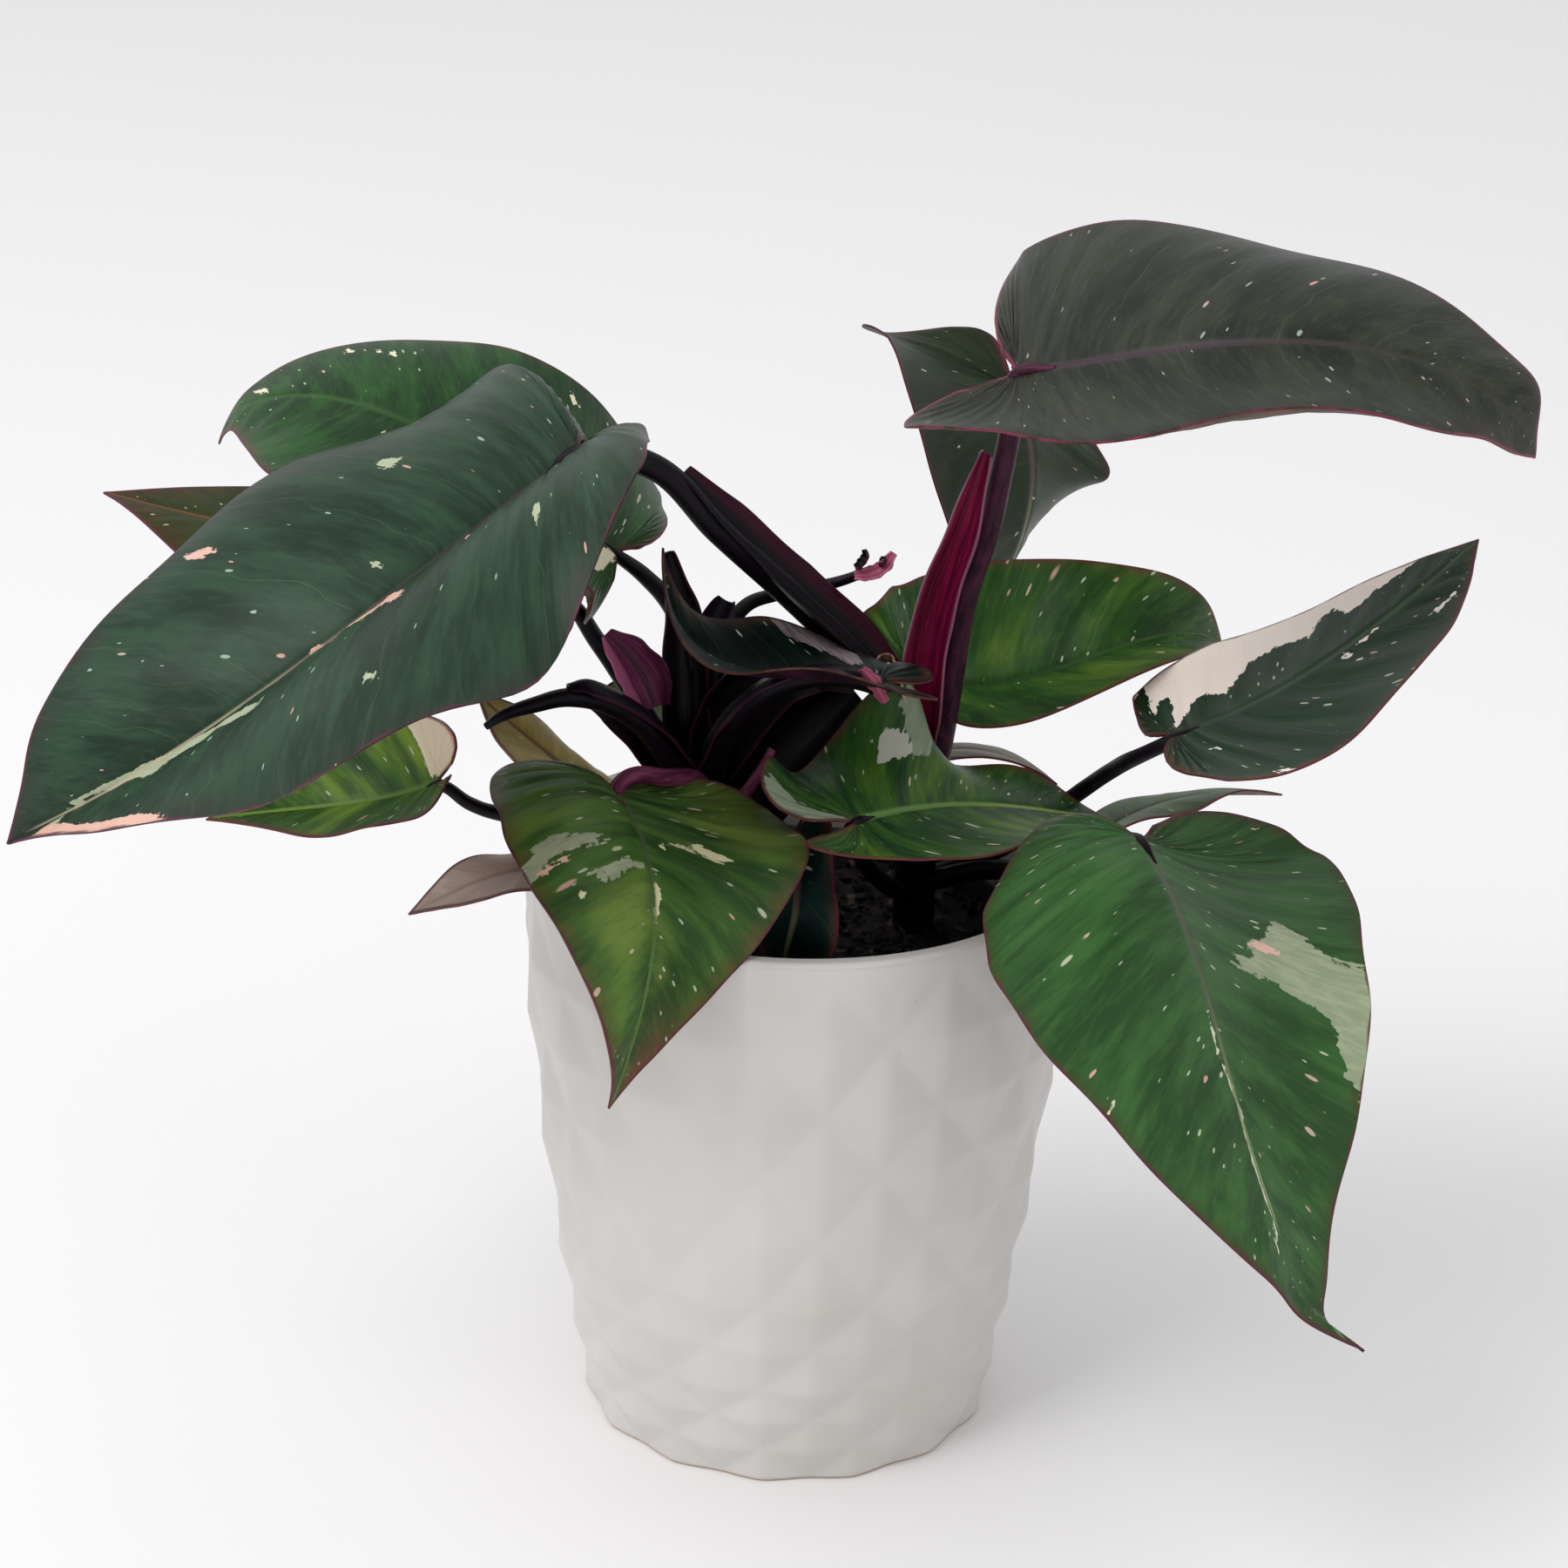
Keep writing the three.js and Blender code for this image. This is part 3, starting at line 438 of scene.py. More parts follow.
@dataclass(frozen=True)
class BladeForm:
    """Shape of one heart-shaped blade; pairs give its + side and its - side."""

    base: Point
    tip: Point
    width: float
    roll: float
    twist: float
    arch: float
    skew: float
    sway: float
    fold: Pair
    curl: Pair
    lobe: Pair
    lift: Pair
    flare: Pair
    wave: Pair
    phase: Pair
    ripples: float
    neck: Pair = (0.0, 0.0)

    def length(self) -> float:
        """Distance from the stalk to the tip."""
        return float(np.linalg.norm(np.subtract(self.tip, self.base)))

    def spine(self, along: np.ndarray) -> tuple:
        """Places points on the midrib.

        Args:
            along: shares of the midrib from 0 to 1.

        Returns:
            The points, and the directions along, across and out of the upper face.
        """
        base = np.array(self.base, float)
        chord = np.array(self.tip, float) - base
        ahead = chord / np.linalg.norm(chord)
        level = unit(np.cross(ahead, [0, 0, 1.0]))
        up = np.cross(level, ahead)
        roll = math.radians(self.roll)
        side = level * math.cos(roll) + up * math.sin(roll)
        normal = up * math.cos(roll) - level * math.sin(roll)
        t = np.asarray(along, float)[..., None]
        q = 1 - t
        rise, fall = self.arch * (1 + self.skew), self.arch * (1 - self.skew)
        bow = normal * (3 * t * q * q * rise + 3 * t * t * q * fall)
        place = base + chord * t + bow + side * (4 * t * q * self.sway)
        bend = normal * (3 * rise * (q * q - 2 * t * q) + 3 * fall * (2 * t * q - t * t))
        tangent = unit(chord + bend + side * (4 * (1 - 2 * t) * self.sway))
        face = unit(np.cross(side, tangent))
        turn = np.radians(self.twist) * t
        return (place, tangent, side * np.cos(turn) + face * np.sin(turn),
                face * np.cos(turn) - side * np.sin(turn))

    def at(self, along: np.ndarray, across: np.ndarray, minus: np.ndarray) -> np.ndarray:
        """Places points of the blade.

        Args:
            along: shares of the length, below 0 in the lobes.
            across: shares of the half width, 0 or more.
            minus: true on the - side.

        Returns:
            The points in millimetres.
        """
        def pick(pair: Pair) -> np.ndarray:
            return np.where(minus, pair[1], pair[0])

        behind = np.maximum(-along, 0) / LOBE_LENGTH
        place, tangent, side, normal = self.spine(np.maximum(along, 0))
        near = np.clip((NECK_END - along) / NECK_END, 0, 1)
        near = near * near * (3 - 2 * near)
        spread = 1 + pick(self.flare) * np.minimum(1, behind) + pick(self.neck) * near
        reach = across * self.width * spread
        angle = np.radians(pick(self.fold) + pick(self.curl) * across)
        turn = 2 * math.pi * self.ripples * (along + LOBE_LENGTH) / (1 + LOBE_LENGTH)
        ripple = pick(self.wave) * np.minimum(1, across) ** 2 * np.sin(turn + pick(self.phase))
        sideways = np.where(minus, -1, 1) * reach * np.cos(angle)
        upwards = reach * np.sin(angle) + pick(self.lift) * behind ** 2 + ripple
        backwards = np.minimum(along, 0) * pick(self.lobe) * self.length()
        return (place + tangent * backwards[..., None] + side * sideways[..., None]
                + normal * upwards[..., None])


@dataclass(frozen=True)
class LeafLook:
    """Colours and habits of one leaf's upper and lower face."""

    deep: str = "#1b3519"
    green: str = "#2f5630"
    lime_and_painted_light: str = "#6d8b3a"
    lime_and_painted_light_share: float = 0.3
    brown: str = "#5a3a24"
    browning: float = 4.0
    rib: str = "#5d4a44"
    rib_end: str = "#8a9460"
    margin: str = "#5a2431"
    under: str = "#6d5a50"
    under_deep: str = "#4a4a38"
    fleck: str = "#c4cdb2"
    flecks: float = 0.3
    vein: str = "#5d7a52"
    veins: float = 0.1
    roughness: float = 0.42
    gloss: float = 0.18
    cream: str = "#e6dfbf"
    pink: str = "#dfae9f"
    grey: str = "#9fb08f"


@dataclass
class Leaf:
    """One leaf blade and its markings; places on it are (share of the margin, signed reach)."""

    name: str
    node: str
    form: BladeForm
    look: LeafLook
    patches: dict[Patch, list[Outline]] = field(default_factory=dict)
    spots: list[Spot] = field(default_factory=list)
    hook: Point = (0.0, 0.0, 0.0)
    hook_from: float = 0.9
    nudges: tuple[Nudge, ...] = ()
    rows: int = 110
    columns: int = 68
    thickness: float = 0.6
    vein_gap: float = 9.0
    quilting: float = 0.22
    fleck_layers: tuple = ((1 / 1.5, 0.17, 0.85, 0.14), (1 / 2.6, 0.18, 0.5, 0.11),
                           (1 / 5.5, 0.18, 0.3, 0.075))
    seed: float = 0.0

    def build(self) -> bpy.types.Object:
        """Models the blade and dresses it.

        Returns:
            The finished piece.
        """
        obj, across, u = new_grid(self.name, self.columns, self.rows)
        reach = (1 - RIB_CROWDING) * np.abs(across) + RIB_CROWDING * across ** 2
        signed = np.where(across < 0, -reach, reach)
        points, along = self.surface(u, signed)
        margin_u = np.linspace(0, 1, 200)
        edges = [self.surface(margin_u, np.full(200, s))[0] for s in (-1.0, 1.0)]
        rays = [self.surface(np.zeros(40), s * np.linspace(0.12, 1, 40))[0] for s in (-1, 1)]
        edge = self.nearest(points, np.vstack(edges + rays))
        rib = self.nearest(points, self.form.spine(np.linspace(0, 1, 240))[0])
        ribs = np.where(along < 0.02, np.minimum(rib, 40), rib)
        vein = u * self.form.length() * VEIN_SWEEP
        wide = signed * self.form.width
        write_corners(obj, "vein", np.stack([vein, wide, ribs], axis=1))
        write_corners(obj, "place", np.stack([along, np.abs(signed), edge], axis=1))
        write_corners(obj, "marks", self.marks(vein, wide))
        write_corners(obj, "tones", self.tones(u, signed))
        height = self.relief(vein, np.abs(signed), ribs, along)
        layer = obj.data.attributes.new("height", "FLOAT", "POINT")
        layer.data.foreach_set("value", height.astype(np.float32))
        write_points(obj, points * MM)
        merge_close(obj)
        self.press(obj)
        for finish in (self.upper(), self.lower(), self.rim()):
            obj.data.materials.append(finish)
        thicken(obj, self.thickness)
        smooth(obj)
        return finish_piece(obj, (self.node,))

    def surface(self, u: np.ndarray, signed: np.ndarray) -> tuple[np.ndarray, np.ndarray]:
        """Places points of the blade by share of the margin and signed reach.

        Args:
            u: shares of the margin from the sinus to the tip.
            signed: reach from the midrib, -1 to 1.

        Returns:
            The points in millimetres, and how far along the blade they are.
        """
        reach = np.abs(signed)
        foot = np.interp(u * (len(VEIN_FEET) - 1), np.arange(len(VEIN_FEET)), VEIN_FEET)
        edge = catmull(HALF_MARGIN, u)
        along = foot + (edge[:, 0] - foot) * reach ** VEIN_SWEEP
        frill = 1 + 0.006 * np.sin(u * 61 + self.seed) + 0.005 * np.sin(u * 37 + 2 * self.seed)
        points = self.form.at(along, edge[:, 1] * reach * frill, signed < 0)
        bend = np.clip((along - self.hook_from) / (1 - self.hook_from), 0, 1) ** 2
        points = points + np.array(self.hook) * bend[:, None]
        for nudge in self.nudges:
            away = ((u - nudge.at[0]) / nudge.spread[0]) ** 2
            away = away + ((signed - nudge.at[1]) / nudge.spread[1]) ** 2
            points = points + np.exp(-away)[:, None] * np.array(nudge.by)
        return points, along

    @staticmethod
    def nearest(points: np.ndarray, line: np.ndarray) -> np.ndarray:
        """Distance of each point to the nearest point of a line."""
        found = np.full(len(points), np.inf)
        for start in range(0, len(line), 60):
            gap = points[:, None, :] - line[None, start:start + 60, :]
            found = np.minimum(found, np.sqrt((gap ** 2).sum(-1)).min(axis=1))
        return found

    def relief(self, vein: np.ndarray, reach: np.ndarray, rib: np.ndarray,
               along: np.ndarray) -> np.ndarray:
        """Height of the surface: a sunken midrib, and pillows between the side veins.

        Args:
            vein: distance along the midrib at which the side vein starts.
            reach: share of the half width.
            rib: distance from the midrib.
            along: share of the length.

        Returns:
            Heights in millimetres.
        """
        fade = np.clip(rib / 6, 0, 1) * np.clip((1 - reach) * 5, 0, 1)
        wobble = 0.8 * np.sin(vein * 0.11 + self.seed) + 0.6 * np.sin(reach * 7 + self.seed)
        pillow = np.cos(2 * math.pi * vein / self.vein_gap + wobble)
        pillow = pillow + 0.4 * np.cos(4.6 * math.pi * vein / self.vein_gap + 2 * wobble)
        groove = np.exp(-(rib / 1.3) ** 2) * np.clip((1 - along) * 6, 0, 1)
        size = min(1.0, self.form.width / 35)
        return size * (self.quilting * pillow * fade - 0.5 * groove)

    @staticmethod
    def press(obj: bpy.types.Object) -> None:
        """Moves the vertices along their normals by the height kept with them."""
        height = np.zeros(len(obj.data.vertices), np.float32)
        obj.data.attributes["height"].data.foreach_get("value", height)
        normals = np.zeros(len(height) * 3, np.float32)
        obj.data.vertex_normals.foreach_get("vector", normals)
        write_points(obj, read_points(obj) + normals.reshape(-1, 3) * height[:, None] * MM)
        obj.data.attributes.remove(obj.data.attributes["height"])

    def marks(self, vein: np.ndarray, wide: np.ndarray) -> np.ndarray:
        """Signed distances to the patches of each kind, positive inside.

        Args:
            vein: the vertices' first place number.
            wide: the vertices' second place number.

        Returns:
            A row of three distances for each vertex.
        """
        scale = np.array([self.form.length() * VEIN_SWEEP, self.form.width])
        spots = np.stack([vein, wide], axis=1)
        result = np.full((len(vein), len(Patch)), -20.0)
        for kind, outlines in self.patches.items():
            for outline in outlines:
                inside = self.inside(spots, np.array(outline, float) * scale)
                result[:, kind.value] = np.maximum(result[:, kind.value], inside)
        return result

    @staticmethod
    def inside(spots: np.ndarray, ring: np.ndarray) -> np.ndarray:
        """Signed distance to a closed outline, positive inside it."""
        nearest = np.full(len(spots), np.inf)
        odd = np.zeros(len(spots), bool)
        for a, b in zip(ring, np.roll(ring, -1, axis=0)):
            edge = b - a
            share = np.clip(((spots - a) @ edge) / max(edge @ edge, 1e-9), 0, 1)
            gap = np.linalg.norm(spots - a - share[:, None] * edge, axis=1)
            nearest = np.minimum(nearest, gap)
            if a[1] != b[1]:
                crosses = (a[1] > spots[:, 1]) != (b[1] > spots[:, 1])
                cut = a[0] + (spots[:, 1] - a[1]) * edge[0] / edge[1]
                odd ^= crosses & (spots[:, 0] < cut)
        return np.clip(np.where(odd, nearest, -nearest), -20, 20)

    def tones(self, u: np.ndarray, signed: np.ndarray) -> np.ndarray:
        """Strengths of the soft shades.

        Args:
            u: shares of the margin.
            signed: signed reaches.

        Returns:
            A row of three strengths for each vertex.
        """
        result = np.zeros((len(u), len(Tone)))
        for spot in self.spots:
            away = ((u - spot.at[0]) / spot.spread[0]) ** 2
            away = away + ((signed - spot.at[1]) / spot.spread[1]) ** 2
            result[:, spot.tone.value] += spot.strength * np.exp(-away)
        return np.clip(result, -1, 1.5)

    def upper(self) -> bpy.types.Material:
        """Upper face: streaks along the veins, lime tints that also serve as painted light, flecks,
        patches, midrib and margin.

        Returns:
            The finish.
        """
        look = self.look
        r = Recipe(f"{self.name}_upper")
        vein, wide, rib = r.split(r.attribute("vein"))
        along, _, edge = r.split(r.attribute("place"))
        cream, pink, grey = r.split(r.attribute("marks"))
        lime_and_painted_light, brown, dark = r.split(r.attribute("tones"))
        flow = r.vector(vein, r.math("MULTIPLY", wide, 0.12), self.seed * 7.3)
        loose = r.vector(vein, r.math("MULTIPLY", wide, 0.4), self.seed * 3.1)
        fine = r.noise(flow, 1.1, 3.0, 0.6)
        middle = r.noise(flow, 0.26, 3.0, 0.55)
        broad = r.noise(loose, 0.055, 2.0, 0.5)
        colour = r.blend(r.ease(r.math("ADD", middle, r.math("MULTIPLY", broad, 0.6)), 0.62, 0.98),
                         look.deep, look.green)
        # Lime tints along the veins; on some leaves this tint is painted light: pale sheen bands on
        # the upper right leaf, and a lightened shaded half on the front left leaf.
        lime_and_painted_light_share = r.math("ADD", r.math("ADD", broad, r.math("MULTIPLY", middle, 0.5)), lime_and_painted_light)
        shade = r.ease(lime_and_painted_light_share, 1.12 - look.lime_and_painted_light_share * 0.7, 1.5 - look.lime_and_painted_light_share * 0.7)
        colour = r.blend(r.math("MULTIPLY", shade, 0.85), colour, look.lime_and_painted_light)
        colour = r.blend(r.math("MULTIPLY", r.ease(fine, 0.45, 0.75), 0.16), colour, look.lime_and_painted_light)
        colour = r.blend(r.math("MULTIPLY", r.ease(fine, 0.5, 0.25), 0.3), colour, look.deep)
        turned = r.math("MULTIPLY", r.ease(edge, look.browning, 0), r.ease(middle, 0.3, 0.7))
        turned = r.math("MINIMUM", r.math("ADD", r.math("MULTIPLY", turned, 0.7), brown), 1.0)
        colour = r.blend(turned, colour, look.brown)
        colour = r.blend(r.math("MINIMUM", dark, 1.0), colour, look.deep, "MULTIPLY")
        lines = self.side_veins(r, vein, wide)
        colour = r.blend(r.math("MULTIPLY", lines, look.veins), colour, look.vein)
        colour = self.flecked(r, colour, flow, vein, wide)
        jag = r.math("MULTIPLY_ADD", r.noise(flow, 0.8, 2.0, 0.6), 4.4, -2.2)
        ragged = r.noise(r.vector(vein, wide, self.seed), 0.55, 3.0, 0.6)
        jag = r.math("ADD", jag, r.math("MULTIPLY_ADD", ragged, 2.4, -1.2))
        for distance, tint in ((grey, look.grey), (cream, look.cream), (pink, look.pink)):
            mask = r.ease(r.math("ADD", distance, jag), -0.12, 0.16)
            tinted = r.blend(r.ease(fine, 0.35, 0.7), tint, look.cream)
            colour = r.blend(mask, colour, r.blend(0.22, tint, tinted))
        width = r.math("MULTIPLY_ADD", along, -1.1, 1.7)
        core = r.ease(r.math("DIVIDE", rib, width), 1.15, 0.4)
        core = r.math("MULTIPLY", core, r.ease(along, -0.04, 0.02))
        rib_colour = r.blend(r.ease(along, 0.25, 0.75), look.rib, look.rib_end)
        colour = r.blend(r.math("MULTIPLY", core, 0.8), colour, rib_colour)
        line = r.ease(edge, 1.1, 0.45)
        colour = r.blend(r.math("MULTIPLY", line, 0.85), colour, look.margin)
        rough = r.math("MULTIPLY_ADD", middle, 0.14, look.roughness - 0.07)
        r.surface(colour, rough, look.gloss)
        grain = r.noise(r.vector(vein, wide, 0.0), 2.6, 2.0, 0.6)
        height = r.math("ADD", r.math("MULTIPLY", fine, 0.6), r.math("MULTIPLY", grain, 0.35))
        r.relief(r.math("SUBTRACT", height, r.math("MULTIPLY", lines, 0.5)), 0.16, 0.6)
        return r.material

    def side_veins(self, r: Recipe, vein, wide) -> bpy.types.NodeSocket:
        """Thin side veins, every third one stronger."""
        drift = r.noise(r.vector(vein, wide, self.seed), 0.06, 1.0)
        phase = r.math("ADD", r.math("DIVIDE", vein, self.vein_gap / 2), drift)
        saw = r.math("ABSOLUTE", r.math("SUBTRACT", r.math("FRACT", phase), 0.5))
        thin = r.ease(saw, 0.06, 0.0)
        third = r.math("ABSOLUTE", r.math("SUBTRACT", r.math("FRACT",
                       r.math("DIVIDE", phase, 3.0)), 0.5))
        return r.math("MULTIPLY", thin, r.math("MULTIPLY_ADD", r.ease(third, 0.2, 0.02), 0.6, 0.4))

    def flecked(self, r: Recipe, colour, flow, vein, wide) -> bpy.types.NodeSocket:
        """Scatters pale dashes along the veins.

        Args:
            r: the finish that is being made.
            colour: the colour below.
            flow: place stretched along the side veins.
            vein: place along the midrib.
            wide: place across it.

        Returns:
            The colour with its flecks.
        """
        look = self.look
        wobble = r.noise(flow, 0.7, 2.0)
        patchy = r.noise(r.vector(vein, wide, self.seed), 0.09, 2.0)
        drift = r.math("MULTIPLY_ADD", patchy, 0.8, -0.4)
        for size, stretch, share, heft in self.fleck_layers:
            at = r.vector(r.math("ADD", vein, wobble), r.math("MULTIPLY", wide, stretch),
                          self.seed * 5.7 + size)
            distance, tint = r.cells(at, size)
            red, green_part, _ = r.split(tint)
            least = 1 - look.flecks * share
            chosen = r.ease(r.math("ADD", red, drift), least, least + 0.03)
            limit = r.math("MULTIPLY_ADD", green_part, heft, heft * 0.4)
            inside = r.ease(r.math("SUBTRACT", distance, limit), 0.02, -0.03)
            mask = r.math("MULTIPLY", r.math("MULTIPLY", inside, chosen), 0.75)
            colour = r.blend(mask, colour, r.blend(r.ease(green_part, 0.85, 0.97), look.fleck,
                                                   look.pink))
        return colour

    def lower(self) -> bpy.types.Material:
        """Lower face: duller, with raised veins.

        Returns:
            The finish.
        """
        look = self.look
        r = Recipe(f"{self.name}_lower")
        vein, wide, rib = r.split(r.attribute("vein"))
        _, _, edge = r.split(r.attribute("place"))
        flow = r.vector(vein, r.math("MULTIPLY", wide, 0.12), self.seed * 7.3)
        fine = r.noise(flow, 0.9, 3.0, 0.6)
        middle = r.noise(flow, 0.2, 2.0)
        colour = r.blend(r.ease(middle, 0.35, 0.7), look.under_deep, look.under)
        colour = r.blend(r.math("MULTIPLY", r.ease(fine, 0.4, 0.7), 0.25), colour, look.under)
        lines = self.side_veins(r, vein, wide)
        colour = r.blend(r.math("MULTIPLY", lines, 0.35), colour, look.rib)
        colour = r.blend(r.math("MULTIPLY", r.ease(rib, 1.8, 0.6), 0.8), colour, look.rib)
        colour = r.blend(r.math("MULTIPLY", r.ease(edge, 1.2, 0.4), 0.8), colour, look.margin)
        r.surface(colour, r.math("MULTIPLY_ADD", fine, 0.15, 0.45), 0.12)
        r.relief(r.math("ADD", fine, lines), 0.18, 0.6)
        return r.material

    def rim(self) -> bpy.types.Material:
        """Thin reddish edge of the blade.

        Returns:
            The finish.
        """
        r = Recipe(f"{self.name}_edge")
        vein, wide, _ = r.split(r.attribute("vein"))
        spread = r.noise(r.vector(vein, wide, self.seed), 0.3, 2.0)
        r.surface(r.blend(r.ease(spread, 0.3, 0.7), self.look.margin, self.look.brown), 0.45, 0.15)
        return r.material


@dataclass(frozen=True)
class StalkFinish:
    """Dark, slightly glossy skin of stalks, streaked along their length."""

    name: str = "stalk_skin"
    dark: str = "#050308"
    skin: str = "#0d0710"
    blush: str = "#2a0e22"
    speck: str = "#402e30"

    def make(self) -> bpy.types.Material:
        """Makes the finish.

        Returns:
            The material.
        """
        r = Recipe(self.name)
        along, around, share = r.split(r.attribute("grain"))
        flow = r.vector(r.math("MULTIPLY", along, 0.06), around, share)
        fine = r.noise(flow, 2.2, 3.0, 0.6)
        broad = r.noise(r.vector(r.math("MULTIPLY", along, 0.3), around), 0.25, 2.0)
        colour = r.blend(r.ease(broad, 0.35, 0.7), self.dark, self.skin)
        colour = r.blend(r.math("MULTIPLY", r.ease(fine, 0.5, 0.75), 0.6), colour, self.blush)
        distance, tint = r.cells(r.vector(r.math("MULTIPLY", along, 0.5), around), 0.8)
        red, _, _ = r.split(tint)
        dots = r.math("MULTIPLY", r.ease(distance, 0.16, 0.08), r.ease(red, 0.8, 0.85))
        colour = r.blend(r.math("MULTIPLY", dots, 0.6), colour, self.speck)
        r.surface(colour, r.math("MULTIPLY_ADD", fine, 0.2, 0.32), 0.14)
        r.relief(fine, 0.2, 0.5)
        return r.material


@dataclass(frozen=True)
class SheathFinish:
    """One face of a sheath, streaked from its foot to its tip."""

    name: str
    low: str
    high: str
    streak: str
    edge: str = "#a4657c"
    edge_from: float = 0.9
    edge_side: int = 0
    roughness: float = 0.38

    def make(self) -> bpy.types.Material:
        """Makes the finish.

        Returns:
            The material.
        """
        r = Recipe(self.name)
        along, around, _ = r.split(r.attribute("grain"))
        flow = r.vector(r.math("MULTIPLY", along, 0.05), r.math("MULTIPLY", around, 7.0), 0.0)
        fine = r.noise(flow, 1.4, 3.0, 0.6)
        broad = r.noise(flow, 0.35, 2.0)
        colour = r.blend(r.ease(broad, 0.35, 0.65), self.low, self.high)
        colour = r.blend(r.math("MULTIPLY", r.ease(fine, 0.48, 0.72), 0.5), colour, self.streak)
        reach = r.math("MULTIPLY", around, float(self.edge_side)) if self.edge_side else (
            r.math("ABSOLUTE", around))
        wing = r.ease(reach, self.edge_from, min(self.edge_from + 0.3, 1.0))
        colour = r.blend(r.math("MULTIPLY", wing, 0.8), colour, self.edge)
        r.surface(colour, r.math("MULTIPLY_ADD", fine, 0.2, self.roughness - 0.1), 0.14)
        r.relief(fine, 0.25, 0.5)
        return r.material


DARK_SKIN = StalkFinish()
MAUVE_SKIN = StalkFinish("mauve_skin", "#2a1422", "#4a2238", "#6e3450", "#805868")
MAGENTA_SKIN = StalkFinish("magenta_skin", "#4a1834", "#7a3656", "#a05c7c", "#b08090")


@dataclass
class Stalk:
    """A stalk from a blade, or from its own tip, down to the stem."""

    points: list[Point]
    radius: Pair
    blade: str = ""
    skin: StalkFinish = DARK_SKIN


@dataclass
class Sheath:
    """An open channel with thin wings that wraps the foot of a stalk."""

    name: str
    points: list[Point]
    half: list[float]
    facing: Point
    inside: SheathFinish
    outside: SheathFinish
    flare: float = 1.0
    thickness: float = 0.6

    def build(self) -> bpy.types.Object:
        """Models the sheath as a bent sheet and thickens it.

        Returns:
            The piece, not yet hung on the model.
        """
        steps = 14 * len(self.points)
        obj, across, along = new_grid(self.name, 28, steps)
        spots, place = resample(self.points, steps + 1)
        tangents = unit(np.gradient(spots, axis=0))
        front = np.array(self.facing, float)
        front = unit(front - tangents * (tangents @ front)[:, None])
        side = np.cross(front, tangents)
        half = np.interp(place * (len(self.half) - 1), np.arange(len(self.half)), self.half)
        row = np.rint(along * steps).astype(int)
        spread = math.radians(SHEATH_SPREAD)
        radius = (half / math.sin(spread))[row]
        angle = spread * across
        open_out = self.flare * np.abs(across) ** 6 * np.sin(math.pi * along) ** 0.5
        frill = 0.25 * np.sin(along * 23 + across * 2) * np.abs(across) ** 4
        reach = radius + open_out + frill
        centre = spots[row] + front[row] * radius[:, None]
        points = (centre - front[row] * (reach * np.cos(angle))[:, None]
                  + side[row] * (reach * np.sin(angle))[:, None])
        length = np.linalg.norm(np.diff(spots, axis=0), axis=1).sum()
        write_corners(obj, "grain", np.stack([along * length, across, along], axis=1))
        write_points(obj, points * MM)
        merge_close(obj)
        for finish in (self.outside, self.inside, self.inside):
            obj.data.materials.append(self.material(finish))
        thicken(obj, self.thickness)
        smooth(obj)
        return obj

    @staticmethod
    def material(finish: SheathFinish) -> bpy.types.Material:
        """Makes a finish once and finds it again for the next sheath."""
        return bpy.data.materials.get(finish.name) or finish.make()


